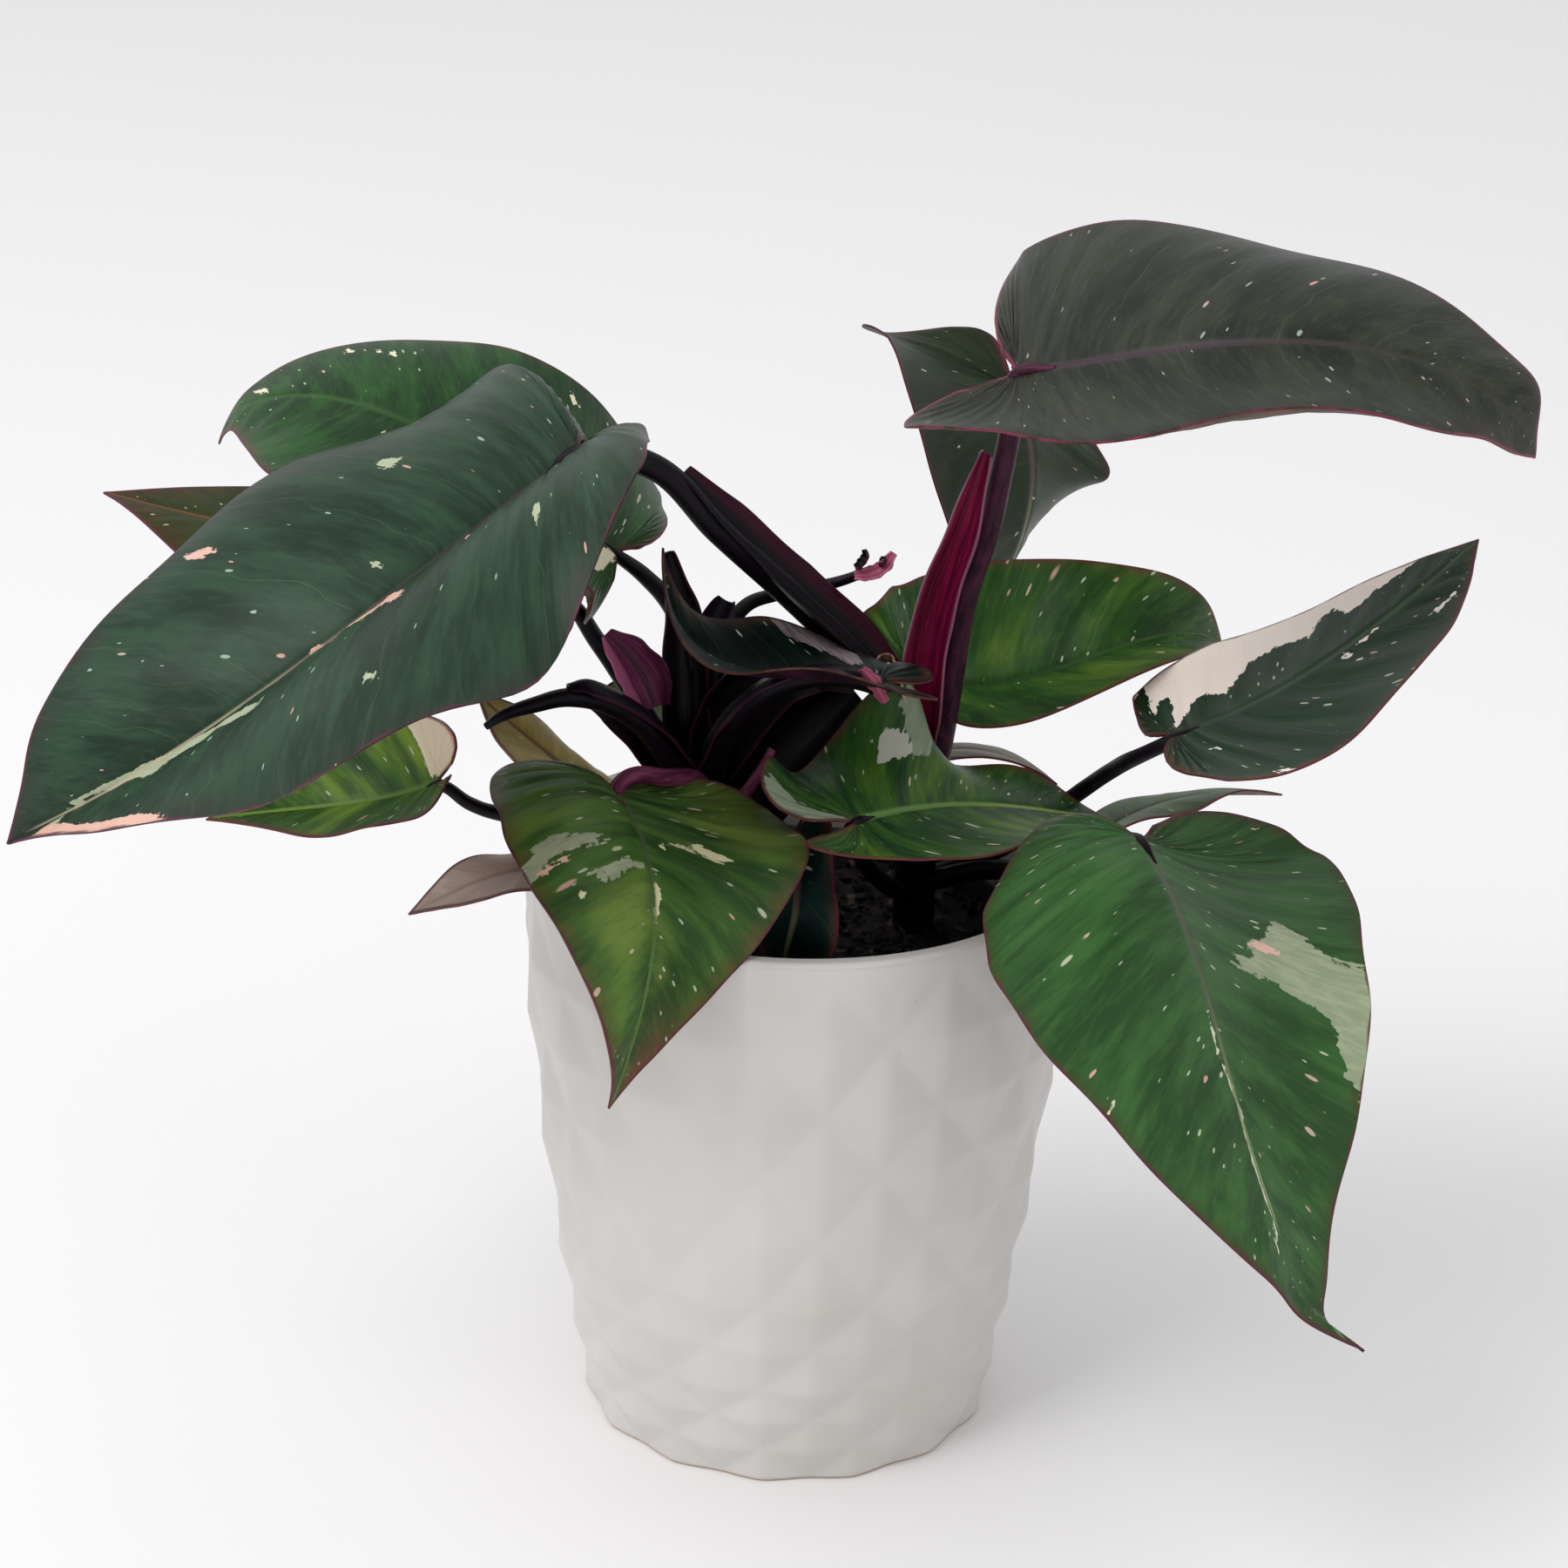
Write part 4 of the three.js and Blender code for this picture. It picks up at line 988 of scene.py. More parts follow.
@dataclass
class Shoot:
    """A leafy shoot: all stalks that leave one stem, and the sheaths fixed to it."""

    name: str
    node: str
    stalks: list[Stalk]
    sheaths: list[Sheath]
    forms: dict[str, BladeForm]

    def build(self) -> list[bpy.types.Object]:
        """Models the stalks as one piece and the sheaths as others.

        Returns:
            The pieces.
        """
        parts = [self.stalk(spec, i) for i, spec in enumerate(self.stalks)]
        bpy.ops.object.select_all(action="DESELECT")
        for part in parts:
            part.select_set(True)
        bpy.context.view_layer.objects.active = parts[0]
        bpy.ops.object.join()
        joined = added(self.name)
        face_outwards(joined)
        smooth(joined, 60)
        pieces = [finish_piece(joined, (self.node,))]
        for sheath in self.sheaths:
            pieces.append(finish_piece(sheath.build(), (self.node,)))
        return pieces

    def stalk(self, spec: Stalk, number: int) -> bpy.types.Object:
        """Models one stalk from a curve.

        Args:
            spec: its points and thickness.
            number: its place in the shoot.

        Returns:
            The stalk as a mesh.
        """
        points = list(spec.points)
        sizes = list(np.linspace(spec.radius[0], spec.radius[1], len(points) + 1))
        if spec.blade:
            place, _, _, upper = self.forms[spec.blade].spine(np.array([0.0, 0.07]))
            points.insert(0, tuple(place[0] - upper[0] * STALK_DROP))
            points.insert(0, tuple(place[1] - upper[1] * 0.6))
            sizes.insert(0, spec.radius[0] * 0.35)
        bpy.ops.object.select_all(action="DESELECT")
        bpy.ops.curve.primitive_bezier_curve_add()
        obj = added(f"{self.name}_{number}")
        curve = obj.data
        spline = curve.splines[0]
        spline.bezier_points.add(len(points) - 2)
        for knot, place, size in zip(spline.bezier_points, points, sizes):
            knot.co = Vector(place) * MM
            knot.handle_left_type = knot.handle_right_type = "AUTO"
            knot.radius = size
        curve.resolution_u = 14
        curve.bevel_depth = MM
        curve.bevel_resolution = 5
        curve.use_fill_caps = True
        select_only(obj)
        bpy.ops.object.convert(target="MESH")
        merge_close(obj)
        self.groove(obj, points, sizes)
        obj.data.materials.clear()
        obj.data.materials.append(bpy.data.materials.get(spec.skin.name) or spec.skin.make())
        return obj

    @staticmethod
    def groove(obj: bpy.types.Object, points: list[Point], sizes: list[float]) -> None:
        """Presses a shallow channel into the upper side and keeps the grain of the skin.

        Args:
            obj: the stalk.
            points: its curve.
            sizes: its radius at each of them.
        """
        rail, place = resample(points, 120)
        tangents = unit(np.gradient(rail, axis=0))
        spots = read_points(obj) / MM
        nearest = np.array([np.argmin(((rail - p) ** 2).sum(1)) for p in spots])
        away = spots - rail[nearest]
        up = unit(np.array([0, 0, 1.0]) - tangents * tangents[:, 2:3])[nearest]
        side = np.cross(tangents[nearest], up)
        angle = np.arctan2((away * side).sum(1), (away * up).sum(1))
        size = np.interp(place * (len(sizes) - 1), np.arange(len(sizes)), sizes)[nearest]
        dip = 0.22 * size * np.exp(-(angle / 0.55) ** 2)
        write_points(obj, (spots - unit(away) * dip[:, None]) * MM)
        step = np.linalg.norm(np.diff(rail, axis=0), axis=1).sum() / (len(rail) - 1)
        rows = np.stack([nearest * step, angle * size, nearest / len(rail)], axis=1)
        write_corners(obj, "grain", rows)


@dataclass(frozen=True)
class GlazeFinish:
    """Satin white glaze with a bare line at the foot."""

    glaze: str = "#d0cdca"
    warm: str = "#c5c2bd"
    clay: str = "#b59a7c"

    def make(self) -> bpy.types.Material:
        """Makes the finish.

        Returns:
            The material.
        """
        r = Recipe("satin_white_glaze")
        place = r.place()
        cloud = r.noise(place, 14.0, 3.0, 0.5)
        colour = r.blend(r.ease(cloud, 0.3, 0.7), self.glaze, self.warm)
        specks, tint = r.cells(place, 260.0)
        red, _, _ = r.split(tint)
        dots = r.math("MULTIPLY", r.ease(specks, 0.12, 0.05), r.ease(red, 0.965, 0.97))
        colour = r.blend(r.math("MULTIPLY", dots, 0.35), colour, self.clay)
        _, _, height = r.split(place)
        foot = r.math("ADD", height, r.math("MULTIPLY_ADD", cloud, 0.0008, -0.0004))
        colour = r.blend(r.math("MULTIPLY", r.ease(foot, 0.0012, 0.0006), 0.8), colour, self.clay)
        r.surface(colour, r.math("MULTIPLY_ADD", cloud, 0.12, 0.32), 0.35, 0.05)
        orange_peel = r.noise(place, 420.0, 2.0)
        r.relief(r.math("ADD", orange_peel, r.math("MULTIPLY", cloud, 2.0)), 0.05, 0.5)
        return r.material


@dataclass
class Cachepot:
    """White cachepot: its faceted wall follows the plain solid, with soft glazed edges."""

    around: int = 336
    rim_radius: float = 75.0
    foot_radius: float = 55.7
    height: float = 164.0
    belly: float = 13.0
    wall: float = 5.5
    lip: float = 4.5
    floor: float = 6.0
    rows: int = 170
    facets_low: float = 0.9
    facets_top: float = 158.0
    band: tuple[float, ...] = (159.0, 160.0, 161.0, 162.0, 162.6)
    rounding: float = 1.3
    finish: GlazeFinish = GlazeFinish()

    def radius(self, z: np.ndarray) -> np.ndarray:
        """Radius of the smooth body at a height."""
        share = z / self.height
        spread = self.foot_radius * (1 - share) + self.rim_radius * share
        return spread + self.belly * share * (1 - share)

    def build(self) -> bpy.types.Object:
        """Models the pot as one closed surface.

        Returns:
            The finished piece.
        """
        wall_z = np.linspace(self.facets_low, self.facets_top, self.rows)
        angles = np.linspace(0, 2 * math.pi, self.around, endpoint=False)
        wall = self.soften(self.sharpen(self.measure(angles, wall_z), wall_z))
        profile, fixed = self.profile(wall_z)
        obj, across, along = new_grid("glazed_cachepot", self.around, len(profile) - 1)
        column = np.rint((across + 1) / 2 * self.around).astype(int) % self.around
        row = np.rint(along * (len(profile) - 1)).astype(int)
        radius = profile[row, 0].copy()
        on_wall = fixed[row] >= 0
        radius[on_wall] = wall[fixed[row][on_wall], column[on_wall]]
        foot = fixed[row] == FOOT_RING
        radius[foot] = wall[0, column[foot]] - profile[row][foot, 0]
        points = np.stack([radius * np.cos(angles[column]), radius * np.sin(angles[column]),
                           profile[row, 1]], axis=1)
        write_points(obj, points * MM)
        merge_close(obj)
        face_outwards(obj)
        obj.data.materials.append(self.finish.make())
        smooth(obj, 60)
        return finish_piece(obj, ("cachepot",))

    def measure(self, angles: np.ndarray, heights: np.ndarray) -> np.ndarray:
        """Reads the radius of the plain solid's outer wall.

        Args:
            angles: directions round the pot.
            heights: heights in millimetres.

        Returns:
            A table of radii, one row a height.
        """
        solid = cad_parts["cachepot"].data
        corners = [v.co.copy() for v in solid.vertices]
        faces = [tuple(p.vertices) for p in solid.polygons]
        tree = BVHTree.FromPolygons(corners, faces)
        table = np.zeros((len(heights), len(angles)))
        for i, z in enumerate(heights):
            for j, angle in enumerate(angles):
                outward = Vector((math.cos(angle), math.sin(angle), 0))
                start = outward * RAY_START + Vector((0, 0, z * MM))
                hit = tree.ray_cast(start, -outward)[0]
                table[i, j] = math.hypot(hit.x, hit.y) / MM if hit else float(self.radius(z))
        return table

    def sharpen(self, table: np.ndarray, heights: np.ndarray) -> np.ndarray:
        """Brings out the diamonds against the upright edges that run through them.

        Args:
            table: measured radii, one row a height.
            heights: heights of the rows in millimetres.

        Returns:
            The radii with deeper diamonds, unchanged on the plain band.
        """
        raised = table - self.radius(heights)[:, None]
        upright = raised.mean(axis=0, keepdims=True)
        faceted = np.clip(3 * raised.max(axis=1, keepdims=True) / raised.max(), 0, 1)
        diamonds = DIAMOND_GAIN * (raised - upright) - UPRIGHT_LOSS * upright
        return table + faceted * diamonds

    @staticmethod
    def soften(table: np.ndarray) -> np.ndarray:
        """Rounds the edges between facets as the glaze does."""
        table = (np.roll(table, 1, 1) + 2 * table + np.roll(table, -1, 1)) / 4
        padded = np.vstack([table[:1], table, table[-1:]])
        return (padded[:-2] + 2 * padded[1:-1] + padded[2:]) / 4

    def profile(self, wall_z: np.ndarray) -> tuple[np.ndarray, np.ndarray]:
        """Section of the pot from the middle of its underside to the middle of its floor.

        Args:
            wall_z: heights of the measured wall.

        Returns:
            Radius and height of each ring, and the row of the measured wall it follows,
            FOOT_RING where it is set in from the foot, or FREE_RING.
        """
        rings: list[tuple[float, float, int]] = []
        rings += [(radius, 0.0, FREE_RING) for radius in (0.0, 20.0, 40.0)]
        rings += [(inset, z, FOOT_RING) for inset, z in ((2.2, 0.0), (1.2, 0.0), (0.45, 0.2))]
        rings += [(0.0, z, i) for i, z in enumerate(wall_z)]
        top = self.height
        rings += [(float(self.radius(np.array(z))), z, FREE_RING) for z in self.band]
        for k in range(7):
            turn = math.pi / 2 * k / 6
            rings.append((self.rim_radius - self.rounding * (1 - math.cos(turn)) + 0.2,
                          top - self.rounding * (1 - math.sin(turn)), FREE_RING))
        for k in range(7):
            turn = math.pi / 2 * k / 6
            rings.append((self.rim_radius - self.lip + self.rounding * (1 - math.sin(turn)),
                          top - self.rounding * (1 - math.cos(turn)), FREE_RING))
        for z in np.linspace(top - 3, self.floor + 3, 40):
            rings.append((float(self.radius(np.array(z))) - self.wall, float(z), FREE_RING))
        inner = float(self.radius(np.array(0.0))) - self.wall
        rings += [(radius, self.floor, FREE_RING) for radius in (inner - 2.0, inner / 2, 0.0)]
        table = np.array(rings)
        return table[:, :2], table[:, 2].astype(int)


@dataclass
class NurseryPot:
    """Dark plastic pot inside the cachepot."""

    foot_radius: float = 44.0
    rim_radius: float = 60.0
    wall: float = 1.4
    low: float = 6.3
    high: float = 146.3

    def build(self) -> bpy.types.Object:
        """Models the pot as a turned shape with a rounded brim.

        Returns:
            The finished piece.
        """
        brim, high = self.rim_radius, self.high
        section = [(0.0, self.low), (30.0, self.low), (self.foot_radius - 1.5, self.low)]
        section += [(self.foot_radius, self.low + 1.5)]
        section += [(brim - 1.8, high - 12), (brim - 1.0, high - 10)]
        section += [(brim + 1.0, high - 8), (brim + 1.0, high - 1), (brim + 0.6, high - 0.2)]
        section += [(brim, high), (brim - 0.8, high - 0.2), (brim - 1.4, high - 1)]
        section += [(brim - 2.4, high - 12), (self.foot_radius - self.wall, self.low + 2.4)]
        section += [(self.foot_radius - 3, self.low + self.wall), (0.0, self.low + self.wall)]
        rail = np.array(section)
        steps = 90
        obj, across, along = new_grid("black_nursery_pot", 96, steps)
        bounds = np.linspace(0, len(rail) - 1, steps + 1)
        row = np.rint(along * steps).astype(int)
        radius = np.interp(bounds, np.arange(len(rail)), rail[:, 0])[row]
        height = np.interp(bounds, np.arange(len(rail)), rail[:, 1])[row]
        angle = math.pi * across
        write_points(obj, np.stack([radius * np.cos(angle), radius * np.sin(angle),
                                    height], axis=1) * MM)
        merge_close(obj)
        face_outwards(obj)
        obj.data.materials.append(self.plastic())
        smooth(obj, 40)
        return finish_piece(obj, ("nursery_pot",))

    @staticmethod
    def plastic() -> bpy.types.Material:
        """Dull black plastic with faint scuffs.

        Returns:
            The material.
        """
        r = Recipe("dull_black_plastic")
        place = r.place()
        scuffs = r.noise(place, 60.0, 4.0, 0.65)
        r.surface(r.blend(r.ease(scuffs, 0.4, 0.75), "#0c0c0d", "#1b1b1c"),
                  r.math("MULTIPLY_ADD", scuffs, 0.3, 0.35), 0.4)
        r.relief(r.noise(place, 900.0, 2.0), 0.05, 0.5)
        return r.material


@dataclass
class Soil:
    """Dark potting soil with crumbs, bark and a few white grains."""

    radius: float = 57.2
    top: float = 139.0
    low: float = 8.0
    side_share: float = 0.2
    crumbs: int = 620
    seed: int = 5

    def build(self) -> bpy.types.Object:
        """Models the plug of soil and strews crumbs over its top.

        Returns:
            The finished piece.
        """
        obj, across, along = new_grid("potting_soil_top", 120, 46)
        angle = math.pi * across
        side = self.side_share
        share = np.clip((1 - along) / (1 - side), 0, 1)
        radius = self.radius * np.where(along < side, 1 - (side - along) * 1.1, share)
        height = np.where(along < side, self.low + (self.top - self.low) * along / side, self.top)
        bottom = along < 1e-6
        radius = np.where(bottom, 0.0, radius)
        x, y = radius * np.cos(angle), radius * np.sin(angle)
        lumps = np.sin(x * 0.31 + 1) * np.sin(y * 0.27) + 0.6 * np.sin(x * 0.8 + y * 0.5)
        lumps += 0.5 * np.sin(x * 1.7 - y * 1.3 + 2) + 0.3 * np.sin(y * 2.9 + x)
        fade = np.minimum(1, (1 - share) * 20)
        height = height + np.where(along >= side, 0.8 * lumps * fade, 0)
        write_points(obj, np.stack([x, y, height], axis=1) * MM)
        merge_close(obj)
        face_outwards(obj)
        parts = [obj] + self.strew()
        bpy.ops.object.select_all(action="DESELECT")
        for part in parts:
            part.select_set(True)
        bpy.context.view_layer.objects.active = obj
        bpy.ops.object.join()
        obj.data.materials.clear()
        obj.data.materials.append(self.earth())
        smooth(obj, 35)
        return finish_piece(obj, ("potting_soil",))

    def strew(self) -> list[bpy.types.Object]:
        """Models one crumb and strews uneven copies of it.

        Returns:
            The crumbs.
        """
        dice = random.Random(self.seed)
        bpy.ops.object.select_all(action="DESELECT")
        bpy.ops.mesh.primitive_ico_sphere_add(subdivisions=1, radius=1)
        model = added("crumb")
        base = read_points(model)
        parts = []
        for _ in range(self.crumbs):
            crumb = model.copy()
            crumb.data = model.data.copy()
            bpy.context.scene.collection.objects.link(crumb)
            size = dice.uniform(0.5, 1.9)
            stretch = [size * dice.uniform(0.6, 1.5), size * dice.uniform(0.6, 1.3), size * 0.6]
            reach = (self.radius - 2.5) * math.sqrt(dice.random())
            angle = dice.uniform(0, 2 * math.pi)
            turn = np.array(Matrix.Rotation(dice.uniform(0, math.pi), 3,
                                            (dice.random(), dice.random(), 1.0)))
            uneven = np.array([dice.uniform(0.8, 1.2) for _ in range(len(base))])
            spot = [reach * math.cos(angle), reach * math.sin(angle), self.top + 0.5 * size]
            write_points(crumb, ((base * uneven[:, None] * stretch) @ turn.T + spot) * MM)
            parts.append(crumb)
        bpy.data.objects.remove(model)
        return parts

    @staticmethod
    def earth() -> bpy.types.Material:
        """Dark peat with paler crumbs.

        Returns:
            The material.
        """
        r = Recipe("dark_peat")
        place = r.place()
        broad = r.noise(place, 90.0, 3.0)
        fine = r.noise(place, 700.0, 3.0)
        colour = r.blend(r.ease(broad, 0.35, 0.65), "#0b0807", "#1d1410")
        _, tint = r.cells(place, 330.0)
        red, _, _ = r.split(tint)
        colour = r.blend(r.math("MULTIPLY", r.ease(red, 0.93, 0.97), 0.5), colour, "#6b5a48")
        r.surface(colour, r.math("MULTIPLY_ADD", fine, 0.2, 0.75), 0.3)
        r.relief(fine, 0.6, 0.8)
        return r.material


@dataclass
class Studio:
    """Plain pale floor, soft lights and the photograph's camera."""

    lens: float = 86.0
    sensor: float = 36.0
    distance: float = 1010.0
    pitch: float = 21.8
    roll: float = 1.4
    aim: Point = (-4.5, 0.0, 183.0)

    def build(self) -> None:
        """Adds floor, lights, world and camera."""
        self.floor()
        self.lights()
        self.camera()
        bpy.context.scene.view_settings.view_transform = "Standard"

    @staticmethod
    def floor() -> None:
        """Adds the floor."""
        bpy.ops.object.select_all(action="DESELECT")
        bpy.ops.mesh.primitive_plane_add(size=14)
        floor = added("studio_floor")
        r = Recipe("pale_paper")
        soft = r.noise(r.place(), 3.0, 2.0)
        r.surface(r.blend(soft, "#f6f4f4", "#f4f2f2"), 0.9, 0.2)
        floor.data.materials.append(r.material)

    def lights(self) -> None:
        """Adds the soft key light, a weak fill and the bright room."""
        self.softbox("key_light", (-1.75, -1.15, 2.5), 2.0, 55.0)
        self.softbox("fill_light", (1.6, -1.4, 1.0), 1.2, 3.5)
        world = bpy.data.worlds.new("pale_room")
        bpy.context.scene.world = world
        world.use_nodes = True
        light = world.node_tree.nodes["Background"]
        light.inputs["Color"].default_value = (0.97, 0.98, 1.0, 1.0)
        light.inputs["Strength"].default_value = 0.75

    @staticmethod
    def softbox(name: str, place: Point, size: float, power: float) -> None:
        """Adds a square area light that faces the pot.

        Args:
            name: its name.
            place: its place in metres.
            size: its side in metres.
            power: its power in watts.
        """
        data = bpy.data.lights.new(name, "AREA")
        data.size = size
        data.energy = power
        light = bpy.data.objects.new(name, data)
        bpy.context.scene.collection.objects.link(light)
        light.location = place
        towards = Vector((0, 0, 0.15)) - Vector(place)
        light.rotation_euler = towards.to_track_quat("-Z", "Y").to_euler()

    def camera(self) -> None:
        """Adds the camera where the photograph was taken from."""
        pitch, roll = math.radians(self.pitch), math.radians(self.roll)
        forward = Vector((0, math.cos(pitch), -math.sin(pitch)))
        right = Vector((1, 0, 0))
        up = right.cross(forward)
        tilted = right * math.cos(roll) + up * math.sin(roll)
        upright = up * math.cos(roll) - right * math.sin(roll)
        data = bpy.data.cameras.new("camera")
        data.lens = self.lens
        data.sensor_width = self.sensor
        data.clip_end = 50
        camera = bpy.data.objects.new("camera", data)
        bpy.context.scene.collection.objects.link(camera)
        turn = Matrix((tilted, upright, -forward)).transposed().to_4x4()
        place = (Vector(self.aim) - forward * self.distance) * MM
        camera.matrix_world = Matrix.Translation(place) @ turn
        bpy.context.scene.camera = camera


FORMS: dict[str, BladeForm] = {
    "left_large_blade": BladeForm(
        base=(-58.3, -29.6, 283.3), tip=(-196.6, -73.2, 193), width=78.2, roll=11,
        twist=24, arch=23.3, skew=0.21, sway=-35.3,
        fold=(22, 46), curl=(-32, -31), lobe=(0.33, 0.62), lift=(-13.1, -2.8),
        flare=(-0.3, -0.3), neck=(-0.04, -0.26), wave=(-3.6, 9.5),
        phase=(-3.11, -0.86), ripples=2.52),
    "back_left_blade": BladeForm(
        base=(-50.5, 17.7, 241.8), tip=(-165.5, 72.1, 258.7), width=52.4, roll=17,
        twist=24, arch=40.8, skew=-0.14, sway=-10.3,
        fold=(-3, -10), curl=(-18, 36), lobe=(0.23, 0.28), lift=(0.3, -8.2),
        flare=(-0.02, 0.01), neck=(0.02, -0.11), wave=(-9.3, 8.6),
        phase=(1.35, -0.01), ripples=1.28),
    "far_left_blade": BladeForm(
        base=(-81, 8, 237), tip=(-191, 33, 250), width=37, roll=9,
        twist=-5, arch=1, skew=0.2, sway=-3,
        fold=(10, 8), curl=(-11, -38), lobe=(1, 1), lift=(0, 0),
        flare=(0, 0), wave=(0, -3),
        phase=(0, 0.3), ripples=1.5),
    "lower_left_blade": BladeForm(
        base=(-98, 0, 181), tip=(-162, 6, 166), width=24, roll=18,
        twist=0, arch=-9, skew=0.3, sway=6,
        fold=(24, 17), curl=(3, 0), lobe=(0.9, 0.9), lift=(2, 3),
        flare=(-0.1, 0), wave=(1, -2),
        phase=(0.1, 1.3), ripples=1.6),
    "narrow_olive_blade": BladeForm(
        base=(-51, -8, 178), tip=(-88, 8, 204), width=17, roll=9,
        twist=8, arch=6, skew=0.2, sway=-5,
        fold=(8, 10), curl=(-36, 1), lobe=(1, 1), lift=(0, 0),
        flare=(0, 0), wave=(2, -2),
        phase=(0.3, -0.3), ripples=1.4),
    "front_left_blade": BladeForm(
        base=(-48.2, -36.4, 194.5), tip=(-46, -106.4, 137.8), width=36.8, roll=21,
        twist=33, arch=25.9, skew=-0.14, sway=-4,
        fold=(25, -3), curl=(-40, 17), lobe=(0.93, 0.53), lift=(-5, 0.5),
        flare=(0, 0.01), neck=(-0.03, 0.25), wave=(1.7, -7.1),
        phase=(-1.9, -0.29), ripples=1.86),
    "torn_blade": BladeForm(
        base=(-60, -54, 179), tip=(-100, -59, 168), width=14, roll=8,
        twist=5, arch=7, skew=0.3, sway=-2,
        fold=(12, 11), curl=(-15, -3), lobe=(1, 1), lift=(0, 0),
        flare=(0, 0), wave=(3, -1),
        phase=(0.8, 0.7), ripples=1.5),
    "front_right_blade": BladeForm(
        base=(87, -47.5, 189.5), tip=(135.5, -139.6, 95.6), width=57.7, roll=14,
        twist=6, arch=14.5, skew=1.05, sway=13.1,
        fold=(10, -23), curl=(-27, 27), lobe=(0.84, 0.37), lift=(-5.6, 7.2),
        flare=(-0.25, 0.1), neck=(-0.12, 0.3), wave=(-7.4, -13.5),
        phase=(0.65, 0.41), ripples=0.92),
    "upper_right_blade": BladeForm(
        base=(52.7, -5, 300.6), tip=(187.9, -16.1, 287.3), width=60, roll=-14,
        twist=-16, arch=37.1, skew=-0.32, sway=14.3,
        fold=(-16, 12), curl=(39, -20), lobe=(1.04, 0.28), lift=(2.1, -0.4),
        flare=(0.33, 0.4), neck=(-0.33, 0.05), wave=(-14, 14),
        phase=(-0.33, 0.08), ripples=1.06),
    "hanging_back_blade": BladeForm(
        base=(58.4, 104, 266.5), tip=(51.6, 92.5, 197.9), width=43.6, roll=47,
        twist=43, arch=19.2, skew=0.48, sway=-4.7,
        fold=(3, -31), curl=(13, 6), lobe=(0.92, 1.1), lift=(-4.9, 0),
        flare=(0.5, 0), neck=(0.1, -0.07), wave=(4, -1.5),
        phase=(0.12, 0.37), ripples=1.5),
    "back_right_blade": BladeForm(
        base=(30.6, 54.8, 194.1), tip=(120, 72.4, 199.3), width=35.1, roll=-29,
        twist=-8, arch=27.3, skew=-0.91, sway=15.9,
        fold=(32, 19), curl=(5, 1), lobe=(0.2, 0.71), lift=(2.2, 6.4),
        flare=(0.05, -0.3), neck=(-0.02, -0.07), wave=(2.2, -5.8),
        phase=(1.3, 1.28), ripples=1.28),
    "half_pink_blade": BladeForm(
        base=(97.9, -12.9, 204.8), tip=(180.3, 21.3, 250), width=43.8, roll=31,
        twist=-13, arch=-6.1, skew=0.46, sway=7.5,
        fold=(-27, 15), curl=(8, 6), lobe=(0.35, 0.22), lift=(-0.5, 0),
        flare=(0.18, -0.22), neck=(0.05, -0.19), wave=(-4.4, -4.5),
        phase=(-0.55, 2.65), ripples=1.21),
    "centre_blade": BladeForm(
        base=(14, -40, 189), tip=(85, 17, 168), width=32, roll=-17,
        twist=-1, arch=6, skew=0.4, sway=-1,
        fold=(-1, 5), curl=(17, 8), lobe=(1.1, 1.1), lift=(4, 3),
        flare=(-0.3, 0), wave=(2, -14),
        phase=(0.2, -1.1), ripples=2.2),
    "young_blade": BladeForm(
        base=(20, -22, 221), tip=(-37, -24, 257), width=22, roll=0,
        twist=16, arch=-22, skew=-0.6, sway=1,
        fold=(13, 8), curl=(-7, 14), lobe=(1, 1), lift=(0, 0),
        flare=(0, 0), wave=(-4, -3),
        phase=(0.1, 0.9), ripples=1.4),
    "narrow_right_blade": BladeForm(
        base=(87, 21, 165), tip=(135, 36, 169), width=16, roll=15,
        twist=4, arch=5, skew=0.2, sway=0,
        fold=(12, 9), curl=(-12, -8), lobe=(1, 1), lift=(0, 0),
        flare=(0, 0), wave=(2, 1),
        phase=(0.2, -0.8), ripples=1.5),
    "curled_back_blade": BladeForm(
        base=(29, 36, 175), tip=(72, 37, 170), width=14, roll=9,
        twist=1, arch=9, skew=0.2, sway=0,
        fold=(12, 10), curl=(-10, -13), lobe=(1, 1), lift=(0, 0),
        flare=(0, 0), wave=(0, 1),
        phase=(0, 0.1), ripples=1.5),
    "back_crown_blade": BladeForm(
        base=(-33.5, 30, 198), tip=(-60, 28, 194.5), width=9.5, roll=55,
        twist=-4, arch=6, skew=0, sway=-2,
        fold=(12, 10), curl=(-10, -18), lobe=(1, 1), lift=(0, 0),
        flare=(0, 0), wave=(0, -2),
        phase=(0, 0.2), ripples=1.7),
    "shaded_blade": BladeForm(
        base=(-2, -28, 177.5), tip=(-2, -34, 141.5), width=13, roll=22,
        twist=1, arch=24, skew=0.5, sway=7,
        fold=(17, 27), curl=(6, 16), lobe=(1, 1), lift=(0, 0),
        flare=(0, 0), wave=(-4, 6),
        phase=(1.2, 1.1), ripples=1.7),
}


